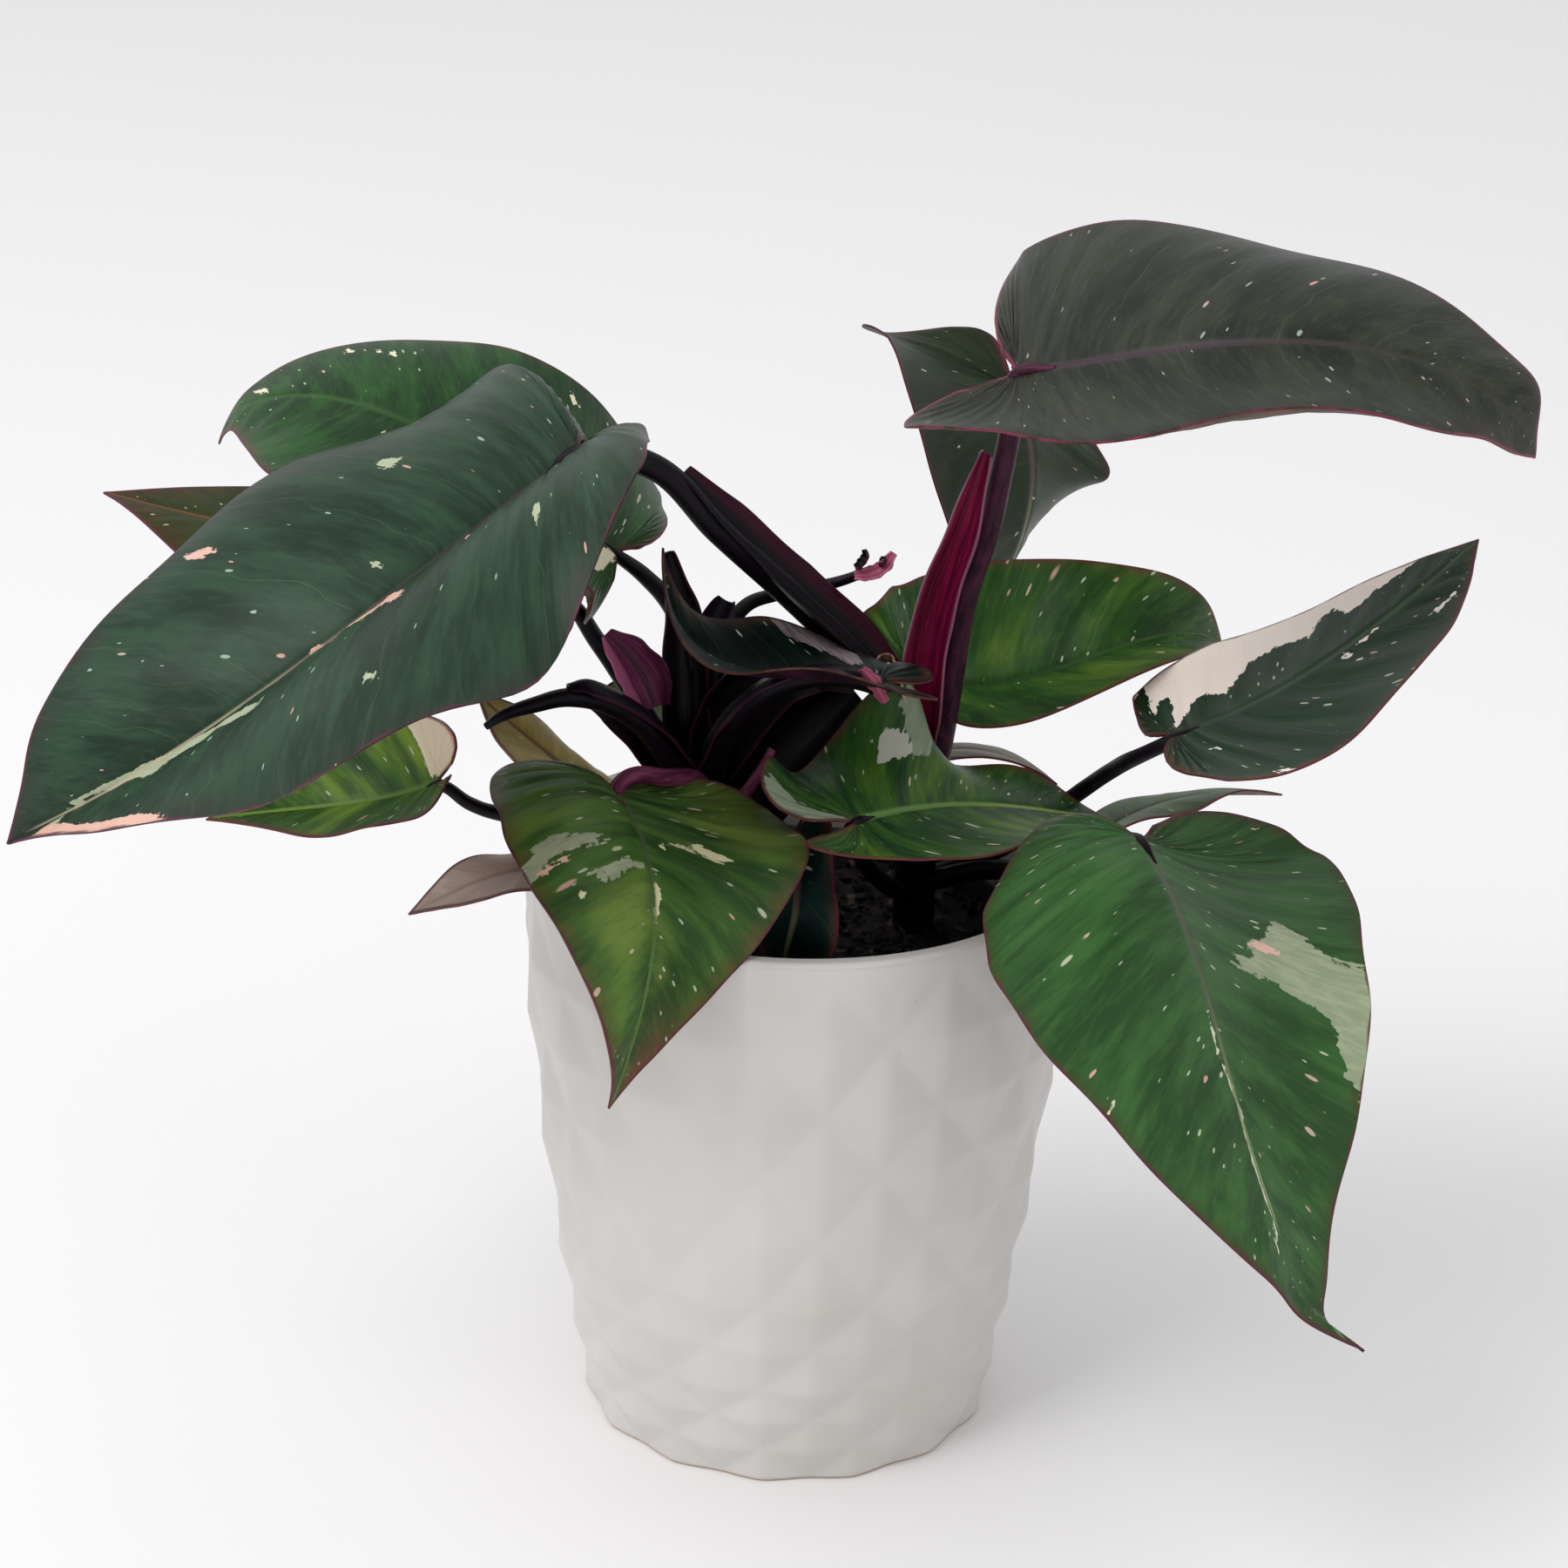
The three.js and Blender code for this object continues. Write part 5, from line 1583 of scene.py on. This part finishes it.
def leaves() -> list[Leaf]:
    """Lists the leaves with their looks.

    Returns:
        All leaves.
    """
    small = {"rows": 76, "columns": 44, "vein_gap": 6.0}
    return [
        Leaf("left_large_leaf", "left_large_blade", FORMS["left_large_blade"], LeafLook(
            deep="#1a2e20", green="#2a4430", lime_and_painted_light="#466040", lime_and_painted_light_share=0.14, brown="#33242a",
            browning=9, rib="#5a4048", rib_end="#c4b49c", margin="#57283a", flecks=0.3,
            fleck="#a9bfae", grey="#a9b294", cream="#d8d8bc", roughness=0.4), {
                Patch.GREY: [
                    [(0.742, -0.31), (0.779, -0.19), (0.829, 0.03), (0.871, 0.13),
                     (0.912, 0.25), (0.938, -0.7), (0.917, -0.77), (0.929, -0.16),
                     (0.896, 0.14), (0.883, 0.01), (0.854, -0.21), (0.817, -0.45),
                     (0.804, -0.33), (0.779, -0.31), (0.738, -0.41)],
                    [(0.571, 0.6), (0.567, 0.51), (0.575, 0.48), (0.579, 0.55)],
                    [(0.512, -0.46), (0.508, -0.47), (0.5, -0.57), (0.5, -0.6),
                     (0.508, -0.57), (0.512, -0.51)],
                    [(0.637, -0.73), (0.629, -0.75), (0.625, -0.8), (0.629, -0.8),
                     (0.637, -0.76)],
                    [(0.658, 0.19), (0.65, 0.15), (0.654, 0.12), (0.658, 0.18)],
                ],
                Patch.PINK: [
                    [(0.675, 0.92), (0.667, 0.86), (0.667, 0.78), (0.671, 0.77),
                     (0.675, 0.85)],
                    [(0.76, -1.05), (0.775, -0.93), (0.8, -0.9), (0.85, -0.88),
                     (0.885, -0.82), (0.935, -0.55), (0.945, -1.05)],
                    [(0.642, -0.26), (0.68, -0.1), (0.721, 0.03), (0.721, -0.04),
                     (0.68, -0.2), (0.633, -0.36)],
                ],
            }, hook=(-2, 0, -2), seed=1.3, nudges=(
                Nudge((0.8, 1.0), (0.13, 0.5), (-3.0, -0.5, 1.2)),
                Nudge((0.5, -1.0), (0.1, 0.4), (0.5, 0.0, -2.2)),
                Nudge((0.84, -1.0), (0.08, 0.5), (0.0, 0.0, -1.4)))),
        Leaf("back_left_leaf", "back_left_blade", FORMS["back_left_blade"], LeafLook(
            deep="#173418", green="#275024", lime_and_painted_light="#4f7530", lime_and_painted_light_share=0.35, rib="#2c4a24",
            rib_end="#35582a", flecks=0.4), {
                Patch.CREAM: [
                    [(0.754, 0.91), (0.746, 0.89), (0.746, 0.81), (0.758, 0.79)],
                    [(0.729, 0.83), (0.713, 0.76), (0.713, 0.65), (0.717, 0.71),
                     (0.729, 0.73)],
                    [(0.55, 0.87), (0.542, 0.9), (0.533, 0.82), (0.537, 0.78)],
                    [(0.887, 0.72), (0.871, 0.41), (0.875, 0.21), (0.892, 0.52)],
                    [(0.446, -0.11), (0.433, -0.03), (0.404, 0.0), (0.0, -0.28),
                     (0.321, -0.12), (0.375, -0.22), (0.417, -0.24)],
                ],
            }, hook=(0, 0, -6), hook_from=0.92, seed=2.1),
        Leaf("far_left_leaf", "far_left_blade", FORMS["far_left_blade"], LeafLook(
            deep="#26300c", green="#333c14", lime_and_painted_light="#4a521c", lime_and_painted_light_share=0.3, brown="#4a2016",
            browning=10, rib="#6b3a2c", rib_end="#7a4a34"), seed=3.7, **small),
        Leaf("lower_left_leaf", "lower_left_blade", FORMS["lower_left_blade"], LeafLook(
            deep="#1c3c12", green="#355c1c", lime_and_painted_light="#86a02a", lime_and_painted_light_share=0.5, cream="#e4d4b8",
            pink="#d9a192", rib="#5c7a34", rib_end="#7c9644", flecks=0.8), {
                Patch.CREAM: [[(0.446, 0.96), (0.388, 1.02), (0.317, 1.02), (0.237, 1.02),
                               (0.0, 1.02), (0.0, 0.3), (0.2, 0.12), (0.429, 0.1),
                               (0.438, 0.4), (0.438, 0.62), (0.442, 0.81)]],
                Patch.PINK: [[(0.3, 0.96), (0.2, 1.02), (-0.02, 1.02), (-0.02, 0.8),
                              (0.15, 0.86), (0.25, 0.92)]],
            }, seed=4.2, **small),
        Leaf("narrow_olive_leaf", "narrow_olive_blade", FORMS["narrow_olive_blade"], LeafLook(
            deep="#a08c4a", green="#c4b26e", lime_and_painted_light="#d0c27a", brown="#946c48", browning=5,
            rib="#6a4634", rib_end="#7a5a3c"), seed=5.9, **small),
        Leaf("front_left_leaf", "front_left_blade", FORMS["front_left_blade"], LeafLook(
            deep="#28461c", green="#42662a", lime_and_painted_light="#71883a", lime_and_painted_light_share=0.45, brown="#60402a",
            browning=7, rib="#4a5838", rib_end="#627c40", flecks=0.75, grey="#939c80",
            cream="#dcd6ac"), {
                Patch.GREY: [
                    [(0.613, 1.05), (0.596, 0.93), (0.583, 0.87), (0.579, 0.8), (0.583, 0.7),
                     (0.608, 0.46), (0.617, 0.34), (0.621, 0.5), (0.621, 0.68),
                     (0.617, 0.81), (0.621, 0.89), (0.629, 0.95), (0.646, 1.05),
                     (0.625, 1.05)],
                    [(0.65, 0.66), (0.65, 0.49), (0.646, 0.34), (0.65, 0.22), (0.658, 0.26),
                     (0.662, 0.12), (0.667, 0.29), (0.671, 0.44), (0.671, 0.6), (0.658, 0.6)],
                ],
                Patch.CREAM: [
                    [(0.613, -0.12), (0.592, -0.19), (0.567, -0.31), (0.554, -0.42),
                     (0.562, -0.5), (0.571, -0.59), (0.575, -0.63), (0.579, -0.58),
                     (0.579, -0.47), (0.575, -0.39), (0.583, -0.28)],
                    [(0.679, -0.02), (0.675, -0.06), (0.7, -0.09), (0.733, -0.05),
                     (0.738, 0.01), (0.704, -0.03)],
                    [(0.667, 0.74), (0.671, 0.7), (0.679, 0.73), (0.675, 0.77)],
                ],
                Patch.PINK: [
                    [(0.613, 0.83), (0.613, 0.75), (0.621, 0.68), (0.625, 0.8),
                     (0.629, 0.87), (0.633, 0.93), (0.621, 0.92)],
                ],
            }, [Spot(Tone.LIME, (0.72, 0.4), (0.05, 0.3), 0.4),
                Spot(Tone.LIME, (0.8, -0.3), (0.06, 0.3), 0.4),
                Spot(Tone.BROWN, (0.9, -0.9), (0.08, 0.5), 0.8),
                # Painted light: this lime spot lightens the minus half of the blade, which curls
                # away from the lamps into shade.
                Spot(Tone.LIME, (0.45, -0.8), (0.16, 0.4), 0.45),
                Spot(Tone.DARK, (0.2, 0.6), (0.18, 0.5), 0.6)], seed=6.4, nudges=(
                Nudge((0.68, 1.0), (0.14, 0.5), (-3.2, 0.0, -1.0)),)),
        # Painted light: the pale pinkish-grey colours are raised to make up for the shade this leaf
        # sits in under the front left leaf.
        Leaf("torn_leaf", "torn_blade", FORMS["torn_blade"], LeafLook(
            deep="#c8aca0", green="#e4cec0", lime_and_painted_light="#e0d2b8", brown="#6a4a3c", browning=2,
            rib="#b8988c", rib_end="#b8a894", lime_and_painted_light_share=0.2, flecks=0.2, under="#a48e80",
            under_deep="#8a7468"), seed=7.7, **small),
        Leaf("front_right_leaf", "front_right_blade", FORMS["front_right_blade"], LeafLook(
            deep="#22441e", green="#365f2e", lime_and_painted_light="#5a7e3c", lime_and_painted_light_share=0.3, brown="#42341f",
            browning=5, rib="#4f4c3c", rib_end="#8ea074", flecks=0.5, grey="#8a9678",
            cream="#d4d2b4"), {
                Patch.GREY: [
                    [(0.617, -0.26), (0.604, -0.37), (0.592, -0.49), (0.575, -0.44),
                     (0.554, -0.54), (0.529, -0.6), (0.537, -0.7), (0.546, -0.78),
                     (0.554, -0.83), (0.562, -0.9), (0.567, -1.05), (0.579, -1.05),
                     (0.617, -1.05), (0.646, -1.05), (0.675, -1.05), (0.696, -1.05),
                     (0.683, -1.05), (0.662, -0.93), (0.65, -0.9), (0.629, -0.86),
                     (0.617, -0.8), (0.617, -0.72), (0.613, -0.66), (0.613, -0.54),
                     (0.617, -0.41)],
                ],
                Patch.PINK: [
                    [(0.575, -0.44), (0.567, -0.53), (0.571, -0.66), (0.575, -0.62),
                     (0.579, -0.52)],
                ],
                Patch.CREAM: [
                    [(0.658, 0.92), (0.662, 0.9), (0.671, 1.05), (0.671, 1.05)],
                    [(0.246, -0.95), (0.271, -0.95), (0.271, -0.93), (0.254, -0.93)],
                    [(0.683, 0.07), (0.717, 0.06), (0.758, -0.04), (0.796, 0.05),
                     (0.85, 0.1), (0.862, 0.36), (0.852, 0.4), (0.842, 0.14), (0.79, 0.1),
                     (0.758, 0.01), (0.717, 0.1)],
                ],
            }, hook=(5, 0, -2), seed=8.8, nudges=(
                Nudge((0.92, 0.0), (0.05, 3.0), (-3.4, 0.0, -0.8)),
                Nudge((0.42, -1.0), (0.1, 0.4), (1.8, 0.0, 0.0)))),
        # The greyish lime of this leaf is painted sheen: its pale bands stand for soft highlights
        # along the side veins.
        Leaf("upper_right_leaf", "upper_right_blade", FORMS["upper_right_blade"], LeafLook(
            deep="#191e16", green="#2e3226", lime_and_painted_light="#58594a", lime_and_painted_light_share=0.26, brown="#33241f",
            browning=8, rib="#43303a", rib_end="#34352c", gloss=0.26, margin="#7c3047", flecks=0.25,
            fleck="#a5b3a6", roughness=0.4),
            hook=(-5, 3, -4), hook_from=0.85, seed=9.1, nudges=(
                Nudge((0.58, -1.0), (0.12, 0.5), (0.4, 0.6, 2.0)),
                Nudge((0.9, -1.0), (0.06, 0.8), (4.6, 0.0, 2.6)),
                Nudge((1.0, 0.0), (0.05, 3.0), (3.0, 0.0, 0.2)),
                Nudge((0.92, 1.0), (0.06, 0.6), (1.0, 0.0, -2.0)),
                Nudge((0.5, 1.0), (0.2, 0.5), (0.0, -0.6, -1.8)))),
        Leaf("hanging_back_leaf", "hanging_back_blade", FORMS["hanging_back_blade"], LeafLook(
            deep="#182513", green="#26341f", lime_and_painted_light="#3a4a2c", lime_and_painted_light_share=0.25, brown="#35241f",
            browning=8, under="#4f5040", rib="#5a4644"), seed=10.4, nudges=(
                Nudge((0.05, 0.75), (0.12, 0.5), (1.0, 4.0, 9.5)),
                Nudge((0.29, -1.0), (0.15, 0.45), (-7.5, 0.0, 3.5)))),
        Leaf("back_right_leaf", "back_right_blade", FORMS["back_right_blade"], LeafLook(
            deep="#183812", green="#2a501c", lime_and_painted_light="#6c8428", lime_and_painted_light_share=0.5, rib="#2c4a24",
            rib_end="#3c5c2a", flecks=0.6), hook=(1, 0, -5), seed=11.2, nudges=(
                Nudge((0.8, -1.0), (0.12, 0.5), (2.0, 0.4, 1.8)),)),
        Leaf("half_pink_leaf", "half_pink_blade", FORMS["half_pink_blade"], LeafLook(
            deep="#0d2614", green="#16341c", lime_and_painted_light="#294c28", lime_and_painted_light_share=0.2, flecks=0.6,
            rib="#2c4426", rib_end="#3c5a34", cream="#fff0e4", pink="#e8b5a8"), {
                Patch.CREAM: [
                    [(0.329, -1.05), (0.396, -0.95), (0.417, -1.05), (0.412, -0.8),
                     (0.4, -0.65), (0.404, -0.53), (0.425, -0.68), (0.438, -0.72),
                     (0.45, -0.67), (0.454, -0.54), (0.442, -0.46), (0.442, -0.27),
                     (0.417, -0.16), (0.45, -0.18), (0.483, -0.34), (0.504, -0.48),
                     (0.521, -0.51), (0.55, -0.4), (0.567, -0.35), (0.579, -0.5),
                     (0.596, -0.6), (0.608, -0.63), (0.629, -0.65), (0.654, -0.67),
                     (0.679, -0.56), (0.692, -0.74), (0.708, -0.81), (0.733, -0.64),
                     (0.746, -0.66), (0.767, -0.73), (0.787, -0.83), (0.85, -1.05)],
                    [(0.721, 0.12), (0.713, 0.38), (0.708, 0.37), (0.713, 0.22)],
                    [(0.771, 0.67), (0.8, 0.75), (0.842, 0.88), (0.825, 0.86), (0.779, 0.78)],
                    [(0.454, 0.91), (0.467, 0.95), (0.479, 1.05), (0.471, 1.05),
                     (0.45, 1.05)],
                    [(0.446, 0.32), (0.462, 0.39), (0.454, 0.4), (0.442, 0.36)],
                    [(0.733, 0.09), (0.758, 0.1), (0.767, 0.11), (0.746, 0.16)],
                ],
            }, seed=12.5),
        Leaf("centre_leaf", "centre_blade", FORMS["centre_blade"], LeafLook(
            deep="#16361c", green="#2f561e", lime_and_painted_light="#7c962a", lime_and_painted_light_share=0.45, flecks=0.6,
            rib="#6a8a4a", rib_end="#8aa048", cream="#b4b4a6", grey="#7c8a70"), {
                Patch.CREAM: [[
                    (0.529, -0.7), (0.537, -0.71), (0.546, -0.74), (0.558, -0.74),
                    (0.575, -0.68), (0.592, -0.59), (0.588, -0.52), (0.562, -0.52),
                    (0.542, -0.49), (0.533, -0.58), (0.542, -0.62)]],
                Patch.GREY: [[
                    (0.554, -0.95), (0.56, -1.05), (0.61, -1.05), (0.621, -0.94),
                    (0.625, -0.57), (0.604, -0.5), (0.592, -0.61), (0.575, -0.72),
                    (0.558, -0.85)],
                    [(0.246, -0.92), (0.217, -0.74), (0.179, -0.62), (0.163, -0.45),
                     (0.196, -0.17), (0.12, -0.12), (0.0, -0.16), (-0.02, -0.62),
                     (-0.02, -1.02), (0.054, -1.05), (0.125, -1.02), (0.2, -0.98)]],
            }, seed=13.6),
        Leaf("young_leaf", "young_blade", FORMS["young_blade"], LeafLook(
            deep="#050c0a", green="#0a1812", lime_and_painted_light="#14281c", lime_and_painted_light_share=0.12, flecks=0.5,
            margin="#2c1422", gloss=0.1, rib="#0c1612", rib_end="#142018", under="#3a1628",
            under_deep="#1c0c18", grey="#6c5c68"), {
                Patch.GREY: [[(0.592, 1.05), (0.558, 1.05), (0.487, 1.05), (0.446, 1.05),
                              (0.458, 0.35), (0.512, 0.3), (0.529, 0.45), (0.554, 0.6),
                              (0.579, 0.72), (0.592, 0.83)]],
            }, seed=14.9,
            **{**small, "columns": 56}),
        Leaf("narrow_right_leaf", "narrow_right_blade", FORMS["narrow_right_blade"], LeafLook(
            deep="#32502c", green="#456236", lime_and_painted_light="#607a40", under="#8f7f78"),
            seed=15.3, **small),
        Leaf("curled_back_leaf", "curled_back_blade", FORMS["curled_back_blade"], LeafLook(
            deep="#7a7566", green="#918a7c", lime_and_painted_light="#a09a84", under="#8f8478",
            under_deep="#7a7064"), seed=16.2, **small),
        Leaf("back_crown_leaf", "back_crown_blade", FORMS["back_crown_blade"], LeafLook(
            deep="#5f8038", green="#7f9c4c", lime_and_painted_light="#b0b860", lime_and_painted_light_share=0.5), seed=17.8, **small),
        # Painted shade: the near-black teal colours stand for the shadow this leaf hangs in, inside
        # the pot.
        Leaf("shaded_leaf", "shaded_blade", FORMS["shaded_blade"], LeafLook(
            deep="#081e1c", green="#0c2826", lime_and_painted_light="#163a30", lime_and_painted_light_share=0.2, flecks=0.7),
            seed=18.4, **small),
    ]


CRIMSON = SheathFinish("crimson_inside", "#46061f", "#720a34", "#94204e", "#8a5a6c")
PURPLE = SheathFinish("purple_outside", "#08050c", "#110815", "#260e20", "#40182e")
# Near-black inside: on the left large leaf's sheath it is painted shade in the channel, with the
# sheath's own reddish purple kept on one wing; the dark curls of the small curled blade use it as
# well.
DARK_AND_PAINTED_SHADE = SheathFinish("dark_and_painted_shade_inside", "#040306", "#09050b", "#140810", "#3c0e24", 0.45, 1)
# Painted shade: the crown sheaths' maroon insides are darkened to near black for the deep shadow in
# the crown and in their channels.
MAROON_IN_PAINTED_SHADE = SheathFinish("maroon_inside_painted_shade", "#070409", "#0f060e", "#220a18", "#3c1628")
MAGENTA = SheathFinish("magenta_edged", "#07050d", "#100816", "#200c22", "#5a2040", 0.86)
MAUVE = SheathFinish("mauve_outside", "#1c0f1a", "#3c2032", "#6a4054", "#8a5c70")
ROSE = SheathFinish("rose_inside", "#3a1226", "#64284a", "#9a4c70", "#c06c90", 0.3, -1)
PINKISH = SheathFinish("pink_inside", "#8f3858", "#b05a74", "#d08c9c")
PAPER = SheathFinish("brown_paper", "#4a3426", "#7d5c46", "#a08468", "#c8a090")


def left_shoot() -> Shoot:
    """Describes the left shoot.

    Returns:
        The shoot.
    """
    stalks = [
        Stalk([(-26, 2, 190), (-26, 2, 150), (-26, 2, 123)], (6, 8)),
        Stalk([(-45, -33, 197), (-36, -27, 195), (-28, -16, 190), (-26, -4, 176)], (2.2, 3),
              "front_left_blade", MAGENTA_SKIN),
        Stalk([(-89, 0, 175), (-81, 1, 172), (-60, 2, 169), (-28, 1, 160)], (1.8, 2.6),
              "lower_left_blade"),
        Stalk([(-43, 15, 236), (-35, 12, 228), (-30, 9, 217), (-27, 5, 184)], (1.8, 4),
              "back_left_blade"),
        Stalk([(-64, 6, 232), (-55, 4, 221), (-46, 3, 208), (-28, 1, 180)], (1.8, 3.4),
              "far_left_blade"),
        Stalk([(11, -21, 222), (-1, -20, 221), (-12, -18, 215), (-20, -14, 204),
               (-26, -2, 178)], (2.8, 4), "young_blade"),
        Stalk([(-45, -5, 173), (-36, -2, 168), (-26, 1, 160)], (1.6, 2.2), "narrow_olive_blade"),
        Stalk([(-52, -46, 176), (-38, -26, 170), (-26, 0, 160)], (1.4, 2.2), "torn_blade"),
        Stalk([(-31, 25, 189), (-28, 15, 177), (-27, 5, 164)], (1.5, 2.2), "back_crown_blade"),
        Stalk([(-8, -22, 170), (-26, 1, 156)], (1.4, 2.2), "shaded_blade"),
        Stalk([(-83, -22, 206), (-79, -22, 209), (-71, -20, 211.5), (-60, -17, 213),
               (-47, -13, 208), (-36, -8, 195), (-27, -1, 174)], (1.1, 5)),
        Stalk([(-8, -16, 199), (-12, -16, 191), (-17, -11, 181), (-24, -2, 168)], (1.2, 3), "",
              MAGENTA_SKIN),
        Stalk([(17, 15.6, 239), (8, 17, 235), (-6, 16, 232), (-17, 13, 228), (-23, 9, 212),
               (-26, 4, 186)], (1.4, 2.8)),
    ]
    sheaths = [
        Sheath("spear_sheath", [(-62, -16, 216), (-56, -14, 216.5), (-46, -11, 210),
                                (-36, -5, 197), (-28, 0, 180)], [2.5, 6, 7, 7, 6],
               (0.1, -0.4, -0.9), MAROON_IN_PAINTED_SHADE, PURPLE),
        Sheath("back_left_sheath", [(-36.5, 8, 245.5), (-34, 8, 237), (-32, 8, 228.5),
                                    (-31, 6, 215), (-30, 3, 200), (-28, 2, 182)],
               [1.2, 2.6, 4, 5, 5.5, 5.5], (-0.2, -1, 0.2), MAROON_IN_PAINTED_SHADE, PURPLE),
        Sheath("short_sheath", [(-20.5, 6, 232.5), (-22.3, 6, 228.5), (-24.5, 5, 220),
                                (-27, 4, 204)], [2.2, 3.4, 4, 4.5], (-0.3, 1, -0.2),
               MAROON_IN_PAINTED_SHADE, MAGENTA),
        Sheath("inner_sheath", [(-9.5, 5, 211), (-16.8, 3, 208), (-21.7, 1, 199.5),
                                (-25.2, 0, 187.5)], [3, 6, 7, 6], (0.2, -1, 0.4),
               MAROON_IN_PAINTED_SHADE, MAGENTA),
        Sheath("young_sheath", [(14, -22, 221), (4, -21, 224), (-8, -18, 219.5), (-17, -12, 208),
                                (-25, -4, 190)], [2.5, 5, 6.5, 7, 6], (0.35, -0.7, -0.6),
               MAROON_IN_PAINTED_SHADE, MAGENTA),
        Sheath("old_sheath", [(14, 14, 205), (4, 12, 196), (-8, 8, 184), (-22, 3, 166)],
               [3, 9, 10, 8], (0.2, -1, 0.4), MAROON_IN_PAINTED_SHADE, PURPLE),
        Sheath("pink_stub", [(14.9, -25.5, 225.8), (18.1, -25.5, 221.8), (21.1, -24.5, 216.2)],
               [0.8, 1.6, 1], (0.4, 1, -0.5), PINKISH, PINKISH, 0.3),
    ]
    return Shoot("left_shoot_stalks", "left_shoot", stalks, sheaths, FORMS)


def right_shoot() -> Shoot:
    """Describes the right shoot.

    Returns:
        The shoot.
    """
    stalks = [
        Stalk([(32, 8, 180), (32, 8, 150), (32, 8, 123)], (7, 8)),
        Stalk([(-41, -19, 278), (-22, -10, 257), (-3, -1, 237), (12, 6, 220), (26, 11, 202),
               (32, 9, 180)], (3.6, 5), "left_large_blade"),
        Stalk([(52, -2, 285), (50, 1, 270), (48, 4, 257), (42, 10, 231), (40, 14, 212),
               (37.5, 17, 190), (33, 9, 170)], (2.7, 4.2), "upper_right_blade", MAUVE_SKIN),
        Stalk([(90, -8, 197), (84, 6, 187), (77, 18, 176), (68, 19, 168), (56, 15, 160),
               (33, 9, 152)], (2.2, 2.8), "half_pink_blade"),
        Stalk([(22, 46, 186), (20, 40, 172), (26, 22, 160), (32, 10, 148)], (2, 2.8),
              "back_right_blade"),
        Stalk([(54, 94, 252), (49, 86, 229), (44, 78, 207), (40, 70, 188), (35, 55, 170),
               (33, 30, 158), (32, 10, 148)], (1.8, 2.8), "hanging_back_blade"),
        Stalk([(81, -27, 177), (66, -18, 168), (48, -2, 160), (33, 7, 152)], (2.4, 3.2),
              "front_right_blade"),
        Stalk([(15, -34, 180), (20, -20, 166), (31, 5, 148)], (2, 2.8), "centre_blade"),
        Stalk([(76, 13, 166), (58, 11, 166), (33, 8, 162)], (1.5, 2.2), "narrow_right_blade"),
        Stalk([(27, 28, 170), (30, 16, 162)], (1.8, 2.2), "curled_back_blade"),
    ]
    sheaths = [
        Sheath("left_large_sheath", [(-32.5, -15, 273.5), (-21.5, -10, 259.5), (-4, -3, 239),
                                     (11.5, 3, 223), (24, 7, 206)], [2.5, 5, 6.3, 6.3, 5.6],
               (0.5, -0.5, 0.8), DARK_AND_PAINTED_SHADE, PURPLE),
        Sheath("papery_bract", [(22.5, -3, 222), (23.3, -1, 216.5), (25, 2, 208), (28, 5, 198)],
               [2.2, 3.6, 4.2, 4.5], (-0.6, -1, 0), PAPER, PAPER),
    ]
    return Shoot("right_shoot_stalks", "right_shoot", stalks, sheaths, FORMS)


def loose_sheaths() -> list[tuple[Sheath, str]]:
    """Lists the sheaths that are pieces of their own, with the solids they stand for.

    Returns:
        Each sheath and its node.
    """
    return [
        (Sheath("upper_right_open_sheath", [(46, -6, 279), (42.5, -1, 259), (36, 6, 232),
                                            (34, 9, 214), (34, 13, 200), (35, 16, 188)],
                [1.5, 3.5, 4.7, 5.4, 4.8, 2], (-0.5, -1, 0.1), CRIMSON, MAUVE),
         "upper_right_sheath"),
        (Sheath("far_left_open_sheath", [(-52.5, -7, 227), (-47.5, -8, 222), (-43, -8, 215),
                                         (-40, -8, 207)], [1.5, 4.5, 6, 4], (0.3, -1, 0.4),
                ROSE, MAUVE), "far_left_sheath"),
        (Sheath("curled_bract", [(23.5, 14, 244.5), (21.3, 13.3, 240.5), (17.7, 12.8, 238.3),
                                 (13, 12.8, 237.8)], [0.9, 1.8, 2.1, 1.3], (-0.2, -0.6, 1),
                PINKISH, CRIMSON, 0.4), "small_curled_blade"),
        (Sheath("dark_curl", [(15.6, 14, 245.4), (16.3, 13.8, 243.6), (15, 13.5, 241.4),
                              (13.2, 13.4, 240.2)], [0.6, 1.2, 1.3, 0.7], (-1, -0.6, 0.3),
                DARK_AND_PAINTED_SHADE, PURPLE, 0.3), "small_curled_blade"),
        (Sheath("small_dark_curl", [(20.6, 14, 243.6), (20.9, 13.8, 242.4), (19.8, 13.6, 240.8)],
                [0.5, 1.0, 0.6], (-1, -0.6, 0.3), DARK_AND_PAINTED_SHADE, PURPLE, 0.3), "small_curled_blade"),
    ]


def main() -> None:
    """Builds the studio and the plant."""
    logging.basicConfig(level=logging.INFO, format="%(message)s")
    Studio().build()
    for piece in (Cachepot(), NurseryPot(), Soil()):
        piece.build()
    for shoot in (left_shoot(), right_shoot()):
        shoot.build()
    for sheath, node in loose_sheaths():
        finish_piece(sheath.build(), (node,))
    for leaf in leaves():
        leaf.build()


if __name__ == "__main__":
    main()
